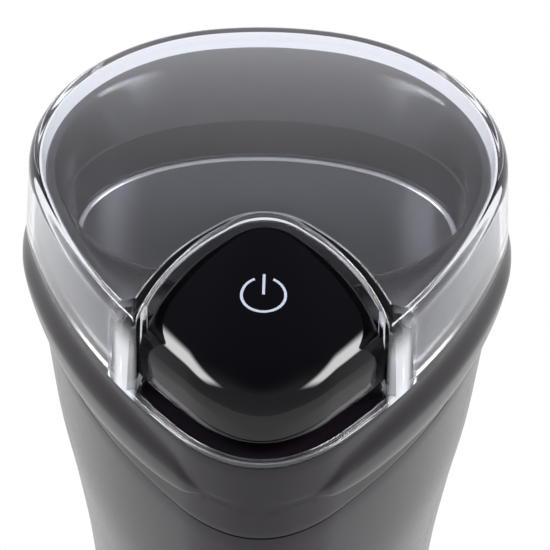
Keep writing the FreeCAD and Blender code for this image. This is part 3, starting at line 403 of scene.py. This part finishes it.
# Steel sheet, deep drawn and tumbled: an even satin with faint clouds in it.
def drawnSteel():
    material, tree, surface, output, place = newMaterial("drawnSteel")
    surface.inputs["Base Color"].default_value = linear("#A7A6A8")
    surface.inputs["Metallic"].default_value = 1.0
    centred = addNode(tree, "ShaderNodeMapping", {"Vector": place.outputs["Object"]})
    centred.inputs["Location"].default_value = (0.0, -bowlCentre * mm, 0.0)
    clouds = addNode(tree, "ShaderNodeTexNoise", {"Vector": centred.outputs["Vector"]},
                    _Scale=260.0, _Detail=2.0)
    polish = addNode(tree, "ShaderNodeMapRange", {"Value": clouds.outputs["Fac"]})
    polish.inputs["To Min"].default_value = 0.27
    polish.inputs["To Max"].default_value = 0.31
    tree.links.new(polish.outputs["Result"], surface.inputs["Roughness"])
    return material


# Metals of the works inside, each with a fine grain in its roughness.
def machinedMetal(name, shade, low, high, grain):
    material, tree, surface, output, place = newMaterial(name)
    surface.inputs["Base Color"].default_value = linear(shade)
    surface.inputs["Metallic"].default_value = 1.0
    noise = addNode(tree, "ShaderNodeTexNoise", {"Vector": place.outputs["Object"]},
                    _Scale=grain, _Detail=3.0)
    polish = addNode(tree, "ShaderNodeMapRange", {"Value": noise.outputs["Fac"]})
    polish.inputs["To Min"].default_value = low
    polish.inputs["To Max"].default_value = high
    tree.links.new(polish.outputs["Result"], surface.inputs["Roughness"])
    return material


# Moulded polymers and rubbers with a spark-eroded texture: a fine matt grain that catches light.
def grainedPolymer(name, shade, second, roughness, grain, depth):
    material, tree, surface, output, place = newMaterial(name)
    noise = addNode(tree, "ShaderNodeTexNoise", {"Vector": place.outputs["Object"]},
                    _Scale=grain, _Detail=4.0)
    tint = addNode(tree, "ShaderNodeMix", {"Factor": noise.outputs["Fac"]}, data_type="RGBA")
    tint.inputs["A"].default_value = linear(shade)
    tint.inputs["B"].default_value = linear(second)
    tree.links.new(tint.outputs["Result"], surface.inputs["Base Color"])
    surface.inputs["Roughness"].default_value = roughness
    bump = addNode(tree, "ShaderNodeBump", {"Height": noise.outputs["Fac"]},
                   _Strength=0.15, _Distance=depth)
    tree.links.new(bump.outputs["Normal"], surface.inputs["Normal"])
    return material


materials = {
    "clearSan": clearSan(),
    "blackAbs": glossAbs("blackAbs", "#030306", "#050509", 0.05, 1.44),
    "charcoalAbs": glossAbs("charcoalAbs", "#161018", "#19131B", 0.24, 1.46),
    "paleInk": grainedPolymer("paleInk", "#A2A9BA", "#ACB3C4", 0.35, 1500.0, 0.00002),
    "drawnSteel": drawnSteel(),
    "groundSteel": machinedMetal("groundSteel", "#C2C2C4", 0.12, 0.28, 1200.0),
    "zincSteel": machinedMetal("zincSteel", "#A9ADB2", 0.2, 0.4, 800.0),
    "springSteel": machinedMetal("springSteel", "#8F9094", 0.25, 0.4, 900.0),
    "laminations": machinedMetal("laminations", "#55565A", 0.45, 0.65, 1500.0),
    "enamelledCopper": machinedMetal("enamelledCopper", "#A8552B", 0.18, 0.35, 1300.0),
    "sinteredBronze": machinedMetal("sinteredBronze", "#B58A4D", 0.35, 0.55, 1600.0),
    "nylonBlack": grainedPolymer("nylonBlack", "#151516", "#1E1E20", 0.45, 1400.0, 0.00006),
    "moulderWhite": grainedPolymer("moulderWhite", "#D8D3C4", "#CBC6B6", 0.4, 1200.0, 0.00005),
    "blackRubber": grainedPolymer("blackRubber", "#0E0E0F", "#171718", 0.7, 1600.0, 0.00008),
    "greySilicone": grainedPolymer("greySilicone", "#5A5B5D", "#66676A", 0.5, 1300.0, 0.00004),
    "pressedCarbon": grainedPolymer("pressedCarbon", "#101010", "#1D1D1E", 0.55, 2000.0, 0.00006),
    "redSleeve": grainedPolymer("redSleeve", "#7A1512", "#8A1C17", 0.4, 1500.0, 0.00003),
}
materialNodes = {
    "clearSan": ("clear_lid",),
    "blackAbs": ("push_button",),
    "paleInk": ("button_mark",),
    "springSteel": ("button_spring", "brush_springs"),
    "charcoalAbs": ("top_collar", "front_shell", "rear_shell"),
    "nylonBlack": ("base_cover", "bowl_clamp", "cooling_fan", "lower_bracket", "upper_bracket",
                   "motor_plate", "switch_body", "switch_mount", "thermal_cutout"),
    "blackRubber": ("rubber_feet", "cord_inlet", "shaft_seal", "motor_mounts"),
    "zincSteel": ("base_screws", "clamp_screws", "blade_spacer", "blade_cap", "stator_screws",
                  "mount_screws", "switch_screws"),
    "drawnSteel": ("grinding_bowl",),
    "greySilicone": ("bowl_gasket",),
    "groundSteel": ("blade", "motor_shaft"),
    "laminations": ("armature_core", "stator_core"),
    "enamelledCopper": ("armature_windings", "commutator", "field_coils"),
    "sinteredBronze": ("lower_bearing", "upper_bearing", "brush_holders"),
    "pressedCarbon": ("carbon_brushes",),
    "moulderWhite": ("switch_plunger", "terminal_block"),
    "redSleeve": ("lead_wires",),
}
nodeMaterials = {node: name for name, nodes in materialNodes.items() for node in nodes}
for node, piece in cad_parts.items():
    piece.data.materials.clear()
    piece.data.materials.append(materials[nodeMaterials[node]])
print("materials set on", len(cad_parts), "frame nodes")


# ---- clear lid ----
lid = {
    "bottom": 160.35,
    "edge": 176.75,
    "rise": 5.6,
    "draft": 0.9,
    "wall": 2.4,
    "edgeRound": 2.6,
    "archRound": 0.9,
    "barHeight": 1.0,
    "barWidth": 1.4,
    "columns": 260,
    "crowding": 0.35,
    "roundSteps": 6,
    "spread": (0.08, 0.2, 0.34, 0.5, 0.66, 0.8, 0.92),
    "barOverlap": 1.2,
    "barSteps": 60,
}


def crescent(name, inset, grow, bottom, edge, edgeRound, archRound):
    # The lid's C-shaped block: top from the arch out to the wall, wall, flat foot and bay wall.
    topInset = inset + lid["draft"]
    planCorner, archCorner = bayCorner(topInset, grow)
    roundSteps = lid["roundSteps"]
    rings = []
    for i in range(lid["columns"] + 1):
        t = i / lid["columns"]
        eased = t - lid["crowding"] * math.sin(2.0 * math.pi * t) / (2.0 * math.pi)
        along = planCorner + (2.0 * halfLength - 2.0 * planCorner) * eased
        outer = outline(along, topInset)
        foot = outline(along, inset)
        arch = archPoint(archCorner * (1.0 - 2.0 * t), grow)
        gapX = outer[0] - arch[0]
        gapY = outer[1] - arch[1]
        gap = max(math.hypot(gapX, gapY), 1e-6)
        column = [(arch[0], arch[1], bottom)]

        def top(distance):
            x = arch[0] + gapX * distance / gap
            y = arch[1] + gapY * distance / gap
            s = min(share(x, y, topInset), 1.0)
            z = edge + lid["rise"] * (1.0 - s * s)
            inner = max(archRound - distance, 0.0)
            outerDrop = max(edgeRound - (gap - distance), 0.0)
            z -= archRound - math.sqrt(max(archRound ** 2 - inner ** 2, 0.0))
            z -= edgeRound - math.sqrt(max(edgeRound ** 2 - outerDrop ** 2, 0.0))
            return (x, y, z)

        innerReach = min(archRound, gap * 0.3)
        outerReach = min(edgeRound, gap * 0.45)
        for k in range(roundSteps + 1):
            angle = math.pi / 2.0 * k / roundSteps
            column.append(top(innerReach * (1.0 - math.cos(angle))))
        for part in lid["spread"]:
            column.append(top(innerReach + (gap - innerReach - outerReach) * part))
        for k in range(roundSteps + 1):
            angle = math.pi / 2.0 * k / roundSteps
            column.append(top(gap - outerReach * (1.0 - math.sin(angle))))
        column.append((foot[0], foot[1], bottom))
        rings.append(column)
    return loftPiece(name, rings, "face", "face")


def frontBar(name):
    # The rim that carries the lid's wall on round the nose, under the button.
    corner = bayCorner(0.0, lid["barOverlap"])[0]
    rings = []
    steps = lid["barSteps"]
    top = lid["bottom"] + lid["barHeight"]
    for i in range(steps + 1):
        along = corner * (1.0 - 2.0 * i / steps)
        outer = outline(along, 0.0)
        inner = outline(along, lid["barWidth"])
        profile = []
        for part, z in ((0.0, lid["bottom"]), (0.0, top - 0.3), (0.04, top - 0.12), (0.11, top - 0.03),
                        (0.22, top), (0.78, top), (0.89, top - 0.03), (0.96, top - 0.12), (1.0, top - 0.3),
                        (1.0, lid["bottom"])):
            profile.append((outer[0] + (inner[0] - outer[0]) * part,
                            outer[1] + (inner[1] - outer[1]) * part, z))
        rings.append(profile)
    return loftPiece(name, rings, "face", "face")


clearLid = crescent("clearLid", 0.0, 0.0, lid["bottom"], lid["edge"], lid["edgeRound"], lid["archRound"])
hollow = crescent("lidHollow", lid["wall"], bay["wall"], lid["bottom"] - 1.0,
                  lid["edge"] - lid["wall"], 1.0, 0.6)
cutWith(clearLid, hollow)
cutWith(clearLid, frontBar("lidBar"), "UNION")
finishPiece(clearLid, "lid", "clear_plastic", materials["clearSan"], "clear_lid")


# ---- push button ----
button = {
    "inset": 3.1,
    "bottom": 163.2,
    "round": 0.6,
    "wall": 2.0,
    "profile": ((0.0, 6.0), (0.3, 8.4), (1.0, 10.4), (2.2, 12.0), (4.0, 13.3), (6.5, 14.35), (10.0, 15.3),
                (15.0, 16.35), (22.0, 17.6), (31.0, 19.0), (42.0, 20.2), (53.0, 20.9)),
    "columns": 224,
    "foot": 0.3,
    "centreBehindNose": 27.0,
    "insets": (1.6, 2.1, 2.7, 3.4, 4.2),
    "rounds": 6,
    "domeRings": 26,
}


def buttonHeight(x, y):
    # Height of the button's skin over a point in plan, by how far in from the egg outline it lies.
    s = share(x, y, button["inset"])
    reach = math.hypot(x, y - domeCentre)
    deep = reach / max(s, 1e-6) - reach
    longest = domeCentre - noseY - button["inset"]
    level = deep + (longest - reach / max(s, 1e-6)) * (1.0 - s) ** 2
    return plan["seatHeight"] + follow(button["profile"], level)


def buttonOutline(inset):
    # The arch from leg to leg, then the nose of the plan.
    planCorner, archCorner = bayCorner(button["inset"] + inset, -bay["slideGap"] - inset)
    points = []
    half = button["columns"] // 2
    for i in range(half):
        along = -archCorner + 2.0 * archCorner * i / half
        x, y, nx, ny = archPoint(along, -bay["slideGap"] - inset)
        points.append((x, y))
    for i in range(button["columns"] - half):
        along = planCorner - 2.0 * planCorner * i / (button["columns"] - half)
        x, y, nx, ny = outline(along, button["inset"] + inset)
        points.append((x, y))
    return points


def buttonRings():
    centre = (0.0, noseY + button["centreBehindNose"])
    edge = buttonOutline(0.0)
    inner = buttonOutline(button["wall"])
    both = list(zip(inner, edge))
    low = button["bottom"]
    foot = low + button["foot"]
    rings = []
    rings.append([(x, y, low + 4.0) for x, y in inner])
    rings.append([(x, y, foot) for x, y in inner])
    rings.append([(x + (ex - x) * 0.1, y + (ey - y) * 0.1, low) for (x, y), (ex, ey) in both])
    rings.append([(ex + (x - ex) * 0.12, ey + (y - ey) * 0.12, low) for (x, y), (ex, ey) in both])
    rings.append([(x, y, foot) for x, y in edge])
    radius = button["round"]
    wall = []
    for x, y in edge:
        wall.append((x, y, buttonHeight(x, y) - radius))
    rings.append([(x, y, (foot + z) / 2.0) for x, y, z in wall])
    rings.append(wall)
    for k in range(1, button["rounds"] + 1):
        angle = math.pi / 2.0 * k / button["rounds"]
        inset = radius * (1.0 - math.cos(angle))
        ring = []
        for x, y in buttonOutline(inset):
            ring.append((x, y, buttonHeight(x, y) - radius + radius * math.sin(angle)))
        rings.append(ring)
    for inset in button["insets"]:
        last = buttonOutline(inset)
        rings.append([(x, y, buttonHeight(x, y)) for x, y in last])
    for k in range(1, button["domeRings"]):
        shrink = 1.0 - k / button["domeRings"]
        ring = []
        for x, y in last:
            px = centre[0] + (x - centre[0]) * shrink
            py = centre[1] + (y - centre[1]) * shrink
            ring.append((px, py, buttonHeight(px, py)))
        rings.append(ring)
    return rings


pushButton = loftPiece("pushButton", buttonRings(), "face", "pole")
finishPiece(pushButton, "button", "black_gloss", materials["blackAbs"], "push_button")

# ---- mark: an open ring with an upright bar ----
mark = {
    "radius": 4.2,
    "stroke": 0.5,
    "place": 26.6,
    "opening": 50.0,
    "proud": 0.03,
    "sunk": -0.25,
    "ringSteps": 72,
    "barSteps": 12,
}


def markPiece():
    centre = noseY + mark["place"]
    inner = mark["radius"] - mark["stroke"]
    half = mark["stroke"] / 2
    sunk = mark["sunk"]
    proud = mark["proud"]
    rings = []
    start = math.radians(90.0 + mark["opening"] / 2.0)
    sweep = math.radians(360.0 - mark["opening"])
    for i in range(mark["ringSteps"] + 1):
        angle = start + sweep * i / mark["ringSteps"]
        profile = []
        for radius, lift in ((inner, sunk), (inner, proud),
                             (mark["radius"], proud), (mark["radius"], sunk)):
            x = radius * math.cos(angle)
            y = centre + radius * math.sin(angle)
            profile.append((x, y, buttonHeight(x, y) + lift))
        rings.append(profile)
    ring = loftPiece("buttonMark", rings, "face", "face")
    rings = []
    for i in range(mark["barSteps"] + 1):
        y = centre + (mark["radius"] + mark["stroke"]) * i / mark["barSteps"]
        profile = []
        for x, lift in ((-half, sunk), (-half, proud), (half, proud), (half, sunk)):
            profile.append((x, y, buttonHeight(x, y) + lift))
        rings.append(profile)
    bar = loftPiece("markBar", rings, "face", "face")
    deselect()
    ring.select_set(True)
    bar.select_set(True)
    bpy.context.view_layer.objects.active = ring
    bpy.ops.object.join()
    return ring


finishPiece(markPiece(), "button", "pale_print", materials["paleInk"], "button_mark")

# ---- the bowl's sizes, which the collar's well follows ----
bowl = {
    "halfWidth": 36.7,
    "halfDepth": 24.7,
    "fullness": 2.05,
    "top": 154.2,
    "depth": 36.0,
    "sheet": 0.8,
    "flange": 2.2,
    "profile": ((0.0, 0.0), (14.0, 0.4), (24.0, 1.4), (30.0, 3.6), (34.0, 7.4), (36.0, 12.5)),
    "hole": 6.5,
    "ringPoints": 192,
    "levels": 24,
}

# ---- collar ----
collar = {
    "skirt": 2.4,
    "upstandGap": 0.9,
    "upstandWall": 1.9,
    "upstandHeight": 11.9,
    "ledgeHeight": 2.5,
    "ledgeWidth": 0.6,
    "wellFlare": 1.0,
    "bowlRim": 155.0,
    "bandSteps": 5,
    "wingSteps": 22,
    "headSteps": 4,
    "funnelSteps": 9,
    "wellSteps": 6,
    "wingTop": ((0.0, -8.0), (12.0, -8.3), (15.5, -6.4), (18.0, -4.6), (22.0, -3.6), (30.0, -2.3),
                (45.0, -1.2), (70.0, -0.7), (150.0, -0.6)),
    "wingFoot": ((0.0, -10.6), (12.0, -10.2), (15.5, -11.8), (23.0, -13.2), (34.0, -13.9),
                 (50.0, -14.6), (80.0, -15.2), (150.0, -15.2)),
    "wingBulge": ((0.0, 0.0), (11.5, 0.0), (15.0, 0.7), (22.0, 1.4), (36.0, 2.0), (60.0, 2.3),
                  (150.0, 2.3)),
}


def flushFace(length, z, inset=0.0):
    # Point on the collar's flush face, which runs on down into the body.
    drop = (plan["seatHeight"] - z) / (plan["seatHeight"] - plan["seamHeight"])
    across = 0.985 + (0.948 - 0.985) * drop
    back = 0.6 + 0.4 * drop
    x, y, nx, ny = outline(length, inset)
    y = noseY + (y - noseY) * (planDepth - back) / planDepth
    return x * across, y, nx, ny


def collarRings():
    count = plan["ringPoints"] * 2
    lengths = [2.0 * halfLength * i / count for i in range(count)]
    seat = plan["seatHeight"]
    rings = []

    def flush(z, inset):
        return [flushFace(s, z, inset)[:2] + (z,) for s in lengths]

    rings.append(flush(seat - collar["skirt"], collar["skirt"] + 1.2))
    rings.append(flush(plan["seamHeight"] + 0.05, collar["skirt"] + 1.2))
    rings.append(flush(plan["seamHeight"], 0.35))
    rings.append(flush(plan["seamHeight"] + 0.12, 0.06))

    def skin(s, z, top, foot, bulge):
        x, y, nx, ny = flushFace(s, z)
        t = (top - z) / (top - foot)
        if 0.0 < t < 1.0:
            # The swelling starts softly under the flush face and is roundest a quarter of the way down.
            rounding = math.sqrt(max(1.0 - max(t - 0.25, 0.0) ** 2 / 0.75 ** 2, 0.0))
            lift = bulge * smooth(min(t / 0.42, 1.0)) * rounding ** 0.8
            x += nx * lift
            y += ny * lift
        return (x, y, z)

    rows = []
    for k in range(collar["bandSteps"]):
        rows.append(("band", k / collar["bandSteps"]))
    for k in range(collar["wingSteps"] + 1):
        part = k / collar["wingSteps"]
        rows.append(("wing", 1.0 - math.cos(math.pi / 2.0 * part) if part < 1.0 else 1.0))
    for k in range(1, collar["headSteps"] + 1):
        rows.append(("head", k / collar["headSteps"]))
    for kind, part in rows:
        ring = []
        for s in lengths:
            near = min(s, 2.0 * halfLength - s)
            top = seat + follow(collar["wingTop"], near)
            foot = seat + follow(collar["wingFoot"], near)
            bulge = follow(collar["wingBulge"], near)
            low = plan["seamHeight"] + 0.4
            head = seat - 0.3
            if kind == "band":
                z = low + (foot - low) * part
            elif kind == "wing":
                z = foot + (top - foot) * part
            else:
                z = top + (head - top) * part
            ring.append(skin(s, z, top, foot, bulge))
        rings.append(ring)
    rings.append(flush(seat - 0.08, 0.08))
    rings.append(flush(seat, 0.35))
    outer = lid["wall"] + collar["upstandGap"]
    draft = lid["draft"]
    upTop = seat + collar["upstandHeight"]

    def level(z, inset):
        return [outline(s, inset)[:2] + (z,) for s in lengths]

    rings.append(level(seat, outer - 0.2))
    rings.append(level(seat + 0.2, outer))
    rings.append(level(upTop - 0.3, outer + draft))
    rings.append(level(upTop, outer + draft + 0.3))
    rings.append(level(upTop, outer + draft + collar["upstandWall"] - 0.4))
    rings.append(level(upTop - 0.12, outer + draft + collar["upstandWall"] - 0.1))
    ledge = seat + collar["ledgeHeight"]
    rimInset = outer + draft + collar["upstandWall"]

    def funnel(z, grow, part):
        # Between the upstand's inner top edge, 0, and the bowl's oval, 1, along rays from the bowl's axis.
        ring = []
        for s in lengths:
            x, y, nx, ny = outline(s, rimInset)
            reach = math.hypot(x, y - bowlCentre)
            across = (abs(x) / reach / (bowl["halfWidth"] + grow)) ** bowl["fullness"]
            along = (abs(y - bowlCentre) / reach / (bowl["halfDepth"] + grow)) ** bowl["fullness"]
            scale = 1.0 + part * ((across + along) ** (-1.0 / bowl["fullness"]) / reach - 1.0)
            ring.append((x * scale, bowlCentre + (y - bowlCentre) * scale, z))
        return ring

    wide = collar["wellFlare"] + collar["ledgeWidth"]
    for k in range(1, collar["funnelSteps"]):
        part = k / collar["funnelSteps"]
        rings.append(funnel(upTop + (ledge - upTop) * part, wide, part))
    rings.append(funnel(ledge + 0.3, wide, 0.975))
    rings.append(funnel(ledge + 0.06, wide, 0.997))
    rings.append(funnel(ledge, wide - 0.15, 1.0))
    rings.append(funnel(ledge, collar["wellFlare"] + 0.25, 1.0))
    rings.append(funnel(ledge - 0.06, collar["wellFlare"] + 0.08, 1.0))
    rings.append(funnel(ledge - 0.3, collar["wellFlare"], 1.0))
    start = ledge - 0.3
    for k in range(1, collar["wellSteps"] + 1):
        part = k / collar["wellSteps"]
        z = start + (collar["bowlRim"] - start) * part
        rings.append(funnel(z, collar["wellFlare"] * (1.0 - part), 1.0))
    rings.append(funnel(collar["bowlRim"] - 0.2, 2.4, 1.0))
    return rings


def archBlock(name, bottom, top, grow):
    reach = bayCorner(-12.0, grow)[1]
    steps = 120
    points = [archPoint(-reach + 2.0 * reach * i / steps, grow)[:2] for i in range(steps + 1)]
    rings = [[(x, y, z) for x, y in points] for z in (bottom, top)]
    return loftPiece(name, rings, "face", "face")


topCollar = loftPiece("topCollar", collarRings(), join=True)
seat = plan["seatHeight"]
cutWith(topCollar, archBlock("bayCut", seat, seat + 20.0, bay["wall"] + bay["slideGap"]))
finishPiece(topCollar, "housing", "dark_plastic", materials["charcoalAbs"], "top_collar")

# ---- body shells ----
body = {
    "levels": ((4.5, 0.765, 6.2, 5.6), (14.0, 0.742, 7.0, 6.2), (32.0, 0.715, 7.6, 6.6),
               (58.0, 0.722, 6.6, 5.8), (84.0, 0.765, 4.6, 4.4), (103.0, 0.825, 2.6, 3.0),
               (118.0, 0.885, 1.2, 2.0), (134.0, 0.925, 0.3, 1.3), (143.0, 0.948, 0.0, 1.0)),
    "rings": 44,
    "wall": 2.4,
    "splitPlace": 54.0,
    "splitLean": 0.12,
    "gap": 0.12,
}


def bodyRing(z, inset):
    across, front, back = [follow([(row[0], row[k]) for row in body["levels"]], z) for k in (1, 2, 3)]
    return planRing(z, inset, across, front, back)


def bodyShell(name, forward):
    rings = []
    low = body["levels"][0][0]
    high = body["levels"][-1][0] - 0.15
    steps = body["rings"]
    for k in range(steps + 1):
        rings.append(bodyRing(high + (low - high) * k / steps, body["wall"]))
    rings.append(bodyRing(low, 0.3))
    rings.append(bodyRing(low + 0.12, 0.06))
    for k in range(steps + 1):
        rings.append(bodyRing(low + 0.4 + (high - 0.4 - low - 0.4) * k / steps, 0.0))
    rings.append(bodyRing(high - 0.12, 0.06))
    rings.append(bodyRing(high, 0.3))
    shell = loftPiece(name, rings, join=True)
    deselect()
    shell.select_set(True)
    bpy.context.view_layer.objects.active = shell
    bpy.ops.object.mode_set(mode="EDIT")
    bpy.ops.mesh.select_all(action="SELECT")
    lean = Vector((0.0, 1.0, -body["splitLean"])).normalized()
    offset = -body["gap"] / 2.0 if forward else body["gap"] / 2.0
    place = Vector((0.0, noseY + body["splitPlace"] + offset, plan["seamHeight"])) * mm
    bpy.ops.mesh.bisect(plane_co=place, plane_no=lean, use_fill=True,
                        clear_outer=forward, clear_inner=not forward)
    bpy.ops.object.mode_set(mode="OBJECT")
    return shell


frontShell = bodyShell("frontShell", True)
finishPiece(frontShell, "housing", "body_plastic", materials["charcoalAbs"], "front_shell")
rearShell = bodyShell("rearShell", False)
finishPiece(rearShell, "housing", "body_plastic", materials["charcoalAbs"], "rear_shell")

# ---- bowl ----
def ovalRing(z, grow):
    ring = []
    power = 2.0 / bowl["fullness"]
    for i in range(bowl["ringPoints"]):
        angle = 2.0 * math.pi * i / bowl["ringPoints"]
        c, q = math.cos(angle), math.sin(angle)
        x = math.copysign(abs(c) ** power, c) * (bowl["halfWidth"] + grow)
        y = math.copysign(abs(q) ** power, q) * (bowl["halfDepth"] + grow)
        ring.append((x, bowlCentre + y, z))
    return ring


def bowlRings():
    rings = []
    top = bowl["top"]

    def hole(z):
        ring = []
        for i in range(bowl["ringPoints"]):
            angle = 2.0 * math.pi * i / bowl["ringPoints"]
            ring.append((bowl["hole"] * math.cos(angle), bowlCentre + bowl["hole"] * math.sin(angle), z))
        return ring

    drops = [bowl["depth"] * k / bowl["levels"] for k in range(bowl["levels"] + 1)]
    outerWall = [(drop, follow(bowl["profile"], drop)) for drop in drops]
    rings.append(hole(top - bowl["depth"]))
    for drop, step in reversed(outerWall):
        if drop > bowl["sheet"] + 0.2:
            rings.append(ovalRing(top - drop, -step))
    rings.append(ovalRing(top - bowl["sheet"], 0.3))
    rings.append(ovalRing(top - bowl["sheet"], bowl["flange"]))
    rings.append(ovalRing(top, bowl["flange"]))
    rings.append(ovalRing(top, 0.2))
    rings.append(ovalRing(top - 0.1, -0.3))
    rings.append(ovalRing(top - 0.5, -bowl["sheet"]))
    inside = (bowl["depth"] - bowl["sheet"]) / bowl["depth"]
    for drop, step in outerWall:
        if drop > bowl["sheet"]:
            rings.append(ovalRing(top - drop * inside, -bowl["sheet"] - step))
    rings.append(hole(top - bowl["depth"] + bowl["sheet"]))
    return rings


grindingBowl = loftPiece("grindingBowl", bowlRings(), join=True)
finishPiece(grindingBowl, "housing", "steel", materials["drawnSteel"], "grinding_bowl")

# ---- floor, light and camera ----
studio = {
    "floorShade": "#F4F4F4",
    "lampPower": 26.0,
    "lampEdge": 0.3,
    "worldLevel": 0.45,
    "frontLevels": ((0.0, 0.6), (0.3, 0.45), (0.85, 0.4), (0.96, 0.14), (1.0, 0.05)),
    "backLevels": ((0.0, 1.0), (0.34, 0.95), (0.48, 0.55), (0.6, 0.2), (0.75, 0.12), (1.0, 0.05)),
}


def pale(tree, colour, reflected, seen):
    # Seen directly or through the lid the surroundings are white. The light on the object comes
    # from the colour.
    path = addNode(tree, "ShaderNodeLightPath")
    straight = addNode(tree, "ShaderNodeMath", operation="MAXIMUM")
    tree.links.new(path.outputs["Is Camera Ray"], straight.inputs[0])
    tree.links.new(path.outputs["Is Transmission Ray"], straight.inputs[1])
    mirrored = addNode(tree, "ShaderNodeMixShader",
                       {0: path.outputs["Is Glossy Ray"], 1: colour, 2: reflected})
    return addNode(tree, "ShaderNodeMixShader", {0: straight.outputs[0], 1: mirrored.outputs[0], 2: seen})


deselect()
bpy.ops.mesh.primitive_plane_add(size=8.0, location=(0.0, 0.0, 0.0))
floor = bpy.context.object
floor.name = "floor"
floorMaterial = bpy.data.materials.new("studioPaper")
floorMaterial.use_nodes = True
paper = floorMaterial.node_tree
paper.nodes.clear()
matt = addNode(paper, "ShaderNodeBsdfDiffuse", _Color=linear(studio["floorShade"]))
white = addNode(paper, "ShaderNodeEmission", _Color=(1.0, 1.0, 1.0, 1.0), _Strength=1.0)
seenFloor = pale(paper, matt.outputs[0], white.outputs[0], white.outputs[0])
addNode(paper, "ShaderNodeOutputMaterial", {"Surface": seenFloor.outputs[0]})
floor.data.materials.append(floorMaterial)

world = bpy.data.worlds.new("studio")
bpy.context.scene.world = world
world.use_nodes = True
sky = world.node_tree
sky.nodes.clear()
direction = addNode(sky, "ShaderNodeTexCoord")
split = addNode(sky, "ShaderNodeSeparateXYZ", {"Vector": direction.outputs["Generated"]})
halves = []
for levels in (studio["frontLevels"], studio["backLevels"]):
    ramp = addNode(sky, "ShaderNodeValToRGB", {"Fac": split.outputs["Z"]})
    for place, level in levels[1:-1]:
        ramp.color_ramp.elements.new(place)
    for element, (place, level) in zip(ramp.color_ramp.elements, levels):
        element.position = place
        element.color = (level, level, level * 1.06, 1.0)
    halves.append(ramp.outputs["Color"])
turned = addNode(sky, "ShaderNodeMapRange", {"Value": split.outputs["Y"]}, interpolation_type="SMOOTHSTEP")
turned.inputs["From Min"].default_value = -0.3
turned.inputs["From Max"].default_value = 0.3
around = addNode(sky, "ShaderNodeMix", {"Factor": turned.outputs["Result"]}, data_type="RGBA")
sky.links.new(halves[0], around.inputs["A"])
sky.links.new(halves[1], around.inputs["B"])
gloss = addNode(sky, "ShaderNodeBackground", {"Color": around.outputs["Result"]}, _Strength=1.0)
fill = addNode(sky, "ShaderNodeBackground", _Color=(1.0, 1.0, 1.0, 1.0), _Strength=studio["worldLevel"])
white = addNode(sky, "ShaderNodeBackground", _Color=(1.0, 1.0, 1.0, 1.0), _Strength=1.0)
skySeen = pale(sky, fill.outputs[0], gloss.outputs[0], white.outputs[0])
addNode(sky, "ShaderNodeOutputWorld", {"Surface": skySeen.outputs[0]})


def softbox(name, place, aim, width, height, power):
    bpy.ops.object.light_add(type="AREA", location=place)
    lamp = bpy.context.object
    lamp.name = name
    lamp.data.shape = "RECTANGLE"
    lamp.data.size = width
    lamp.data.size_y = height
    lamp.data.energy = power
    lamp.data.use_nodes = True
    cloth = lamp.data.node_tree
    cloth.nodes.clear()
    across = addNode(cloth, "ShaderNodeNewGeometry")
    sides = addNode(cloth, "ShaderNodeSeparateXYZ", {"Vector": across.outputs["Parametric"]})
    fades = []
    for side in ("X", "Y"):
        wave = addNode(cloth, "ShaderNodeMath", {0: sides.outputs[side]}, operation="PINGPONG")
        wave.inputs[1].default_value = 0.5
        fade = addNode(cloth, "ShaderNodeMapRange", {"Value": wave.outputs[0]},
                       interpolation_type="SMOOTHSTEP")
        fade.inputs["From Max"].default_value = studio["lampEdge"]
        fades.append(fade.outputs["Result"])
    both = addNode(cloth, "ShaderNodeMath", {0: fades[0], 1: fades[1]}, operation="MULTIPLY")
    glow = addNode(cloth, "ShaderNodeEmission", {"Strength": both.outputs[0]})
    addNode(cloth, "ShaderNodeOutputLight", {"Surface": glow.outputs[0]})
    lamp.rotation_euler = (Vector(aim) - Vector(place)).to_track_quat("-Z", "Y").to_euler()
    return lamp


softbox("leftSoftbox", (-0.85, 0.0, 0.85), (0.0, 0.0, 0.14), 1.0, 0.5, studio["lampPower"])
softbox("rightSoftbox", (0.85, 0.0, 0.85), (0.0, 0.0, 0.14), 1.0, 0.5, studio["lampPower"])

view = {"elevation": 39.758, "distance": 615.78, "yaw": -0.633, "roll": 0.764, "focalPixels": 3265.5,
        "targetBehindNose": 55.0, "aimX": -16.37, "aimY": -5.72, "frameShift": 0.0468}
camera = bpy.data.cameras.new("camera")
cameraObject = bpy.data.objects.new("camera", camera)
bpy.context.scene.collection.objects.link(cameraObject)
camera.sensor_width = 36.0
camera.lens = view["focalPixels"] / 550.0 * 36.0
camera.clip_start = 0.01
elevation = math.radians(view["elevation"])
yaw = math.radians(view["yaw"])
target = Vector((0.0, noseY + view["targetBehindNose"], plan["seatHeight"]))
flat = math.cos(elevation)
forward = Vector((math.sin(yaw) * flat, math.cos(yaw) * flat, -math.sin(elevation)))
right = forward.cross(Vector((0.0, 0.0, 1.0))).normalized()
up = right.cross(forward)
eye = target - forward * view["distance"]
look = forward + right * (view["aimX"] / view["focalPixels"]) + up * (view["aimY"] / view["focalPixels"])
cameraObject.location = eye * mm
roll = Quaternion((0.0, 0.0, 1.0), math.radians(view["roll"]))
cameraObject.rotation_euler = (look.to_track_quat("-Z", "Y") @ roll).to_euler()
camera.shift_x = view["frameShift"]
bpy.context.scene.camera = cameraObject
bpy.context.scene.view_settings.view_transform = "Standard"

print("scene ready")
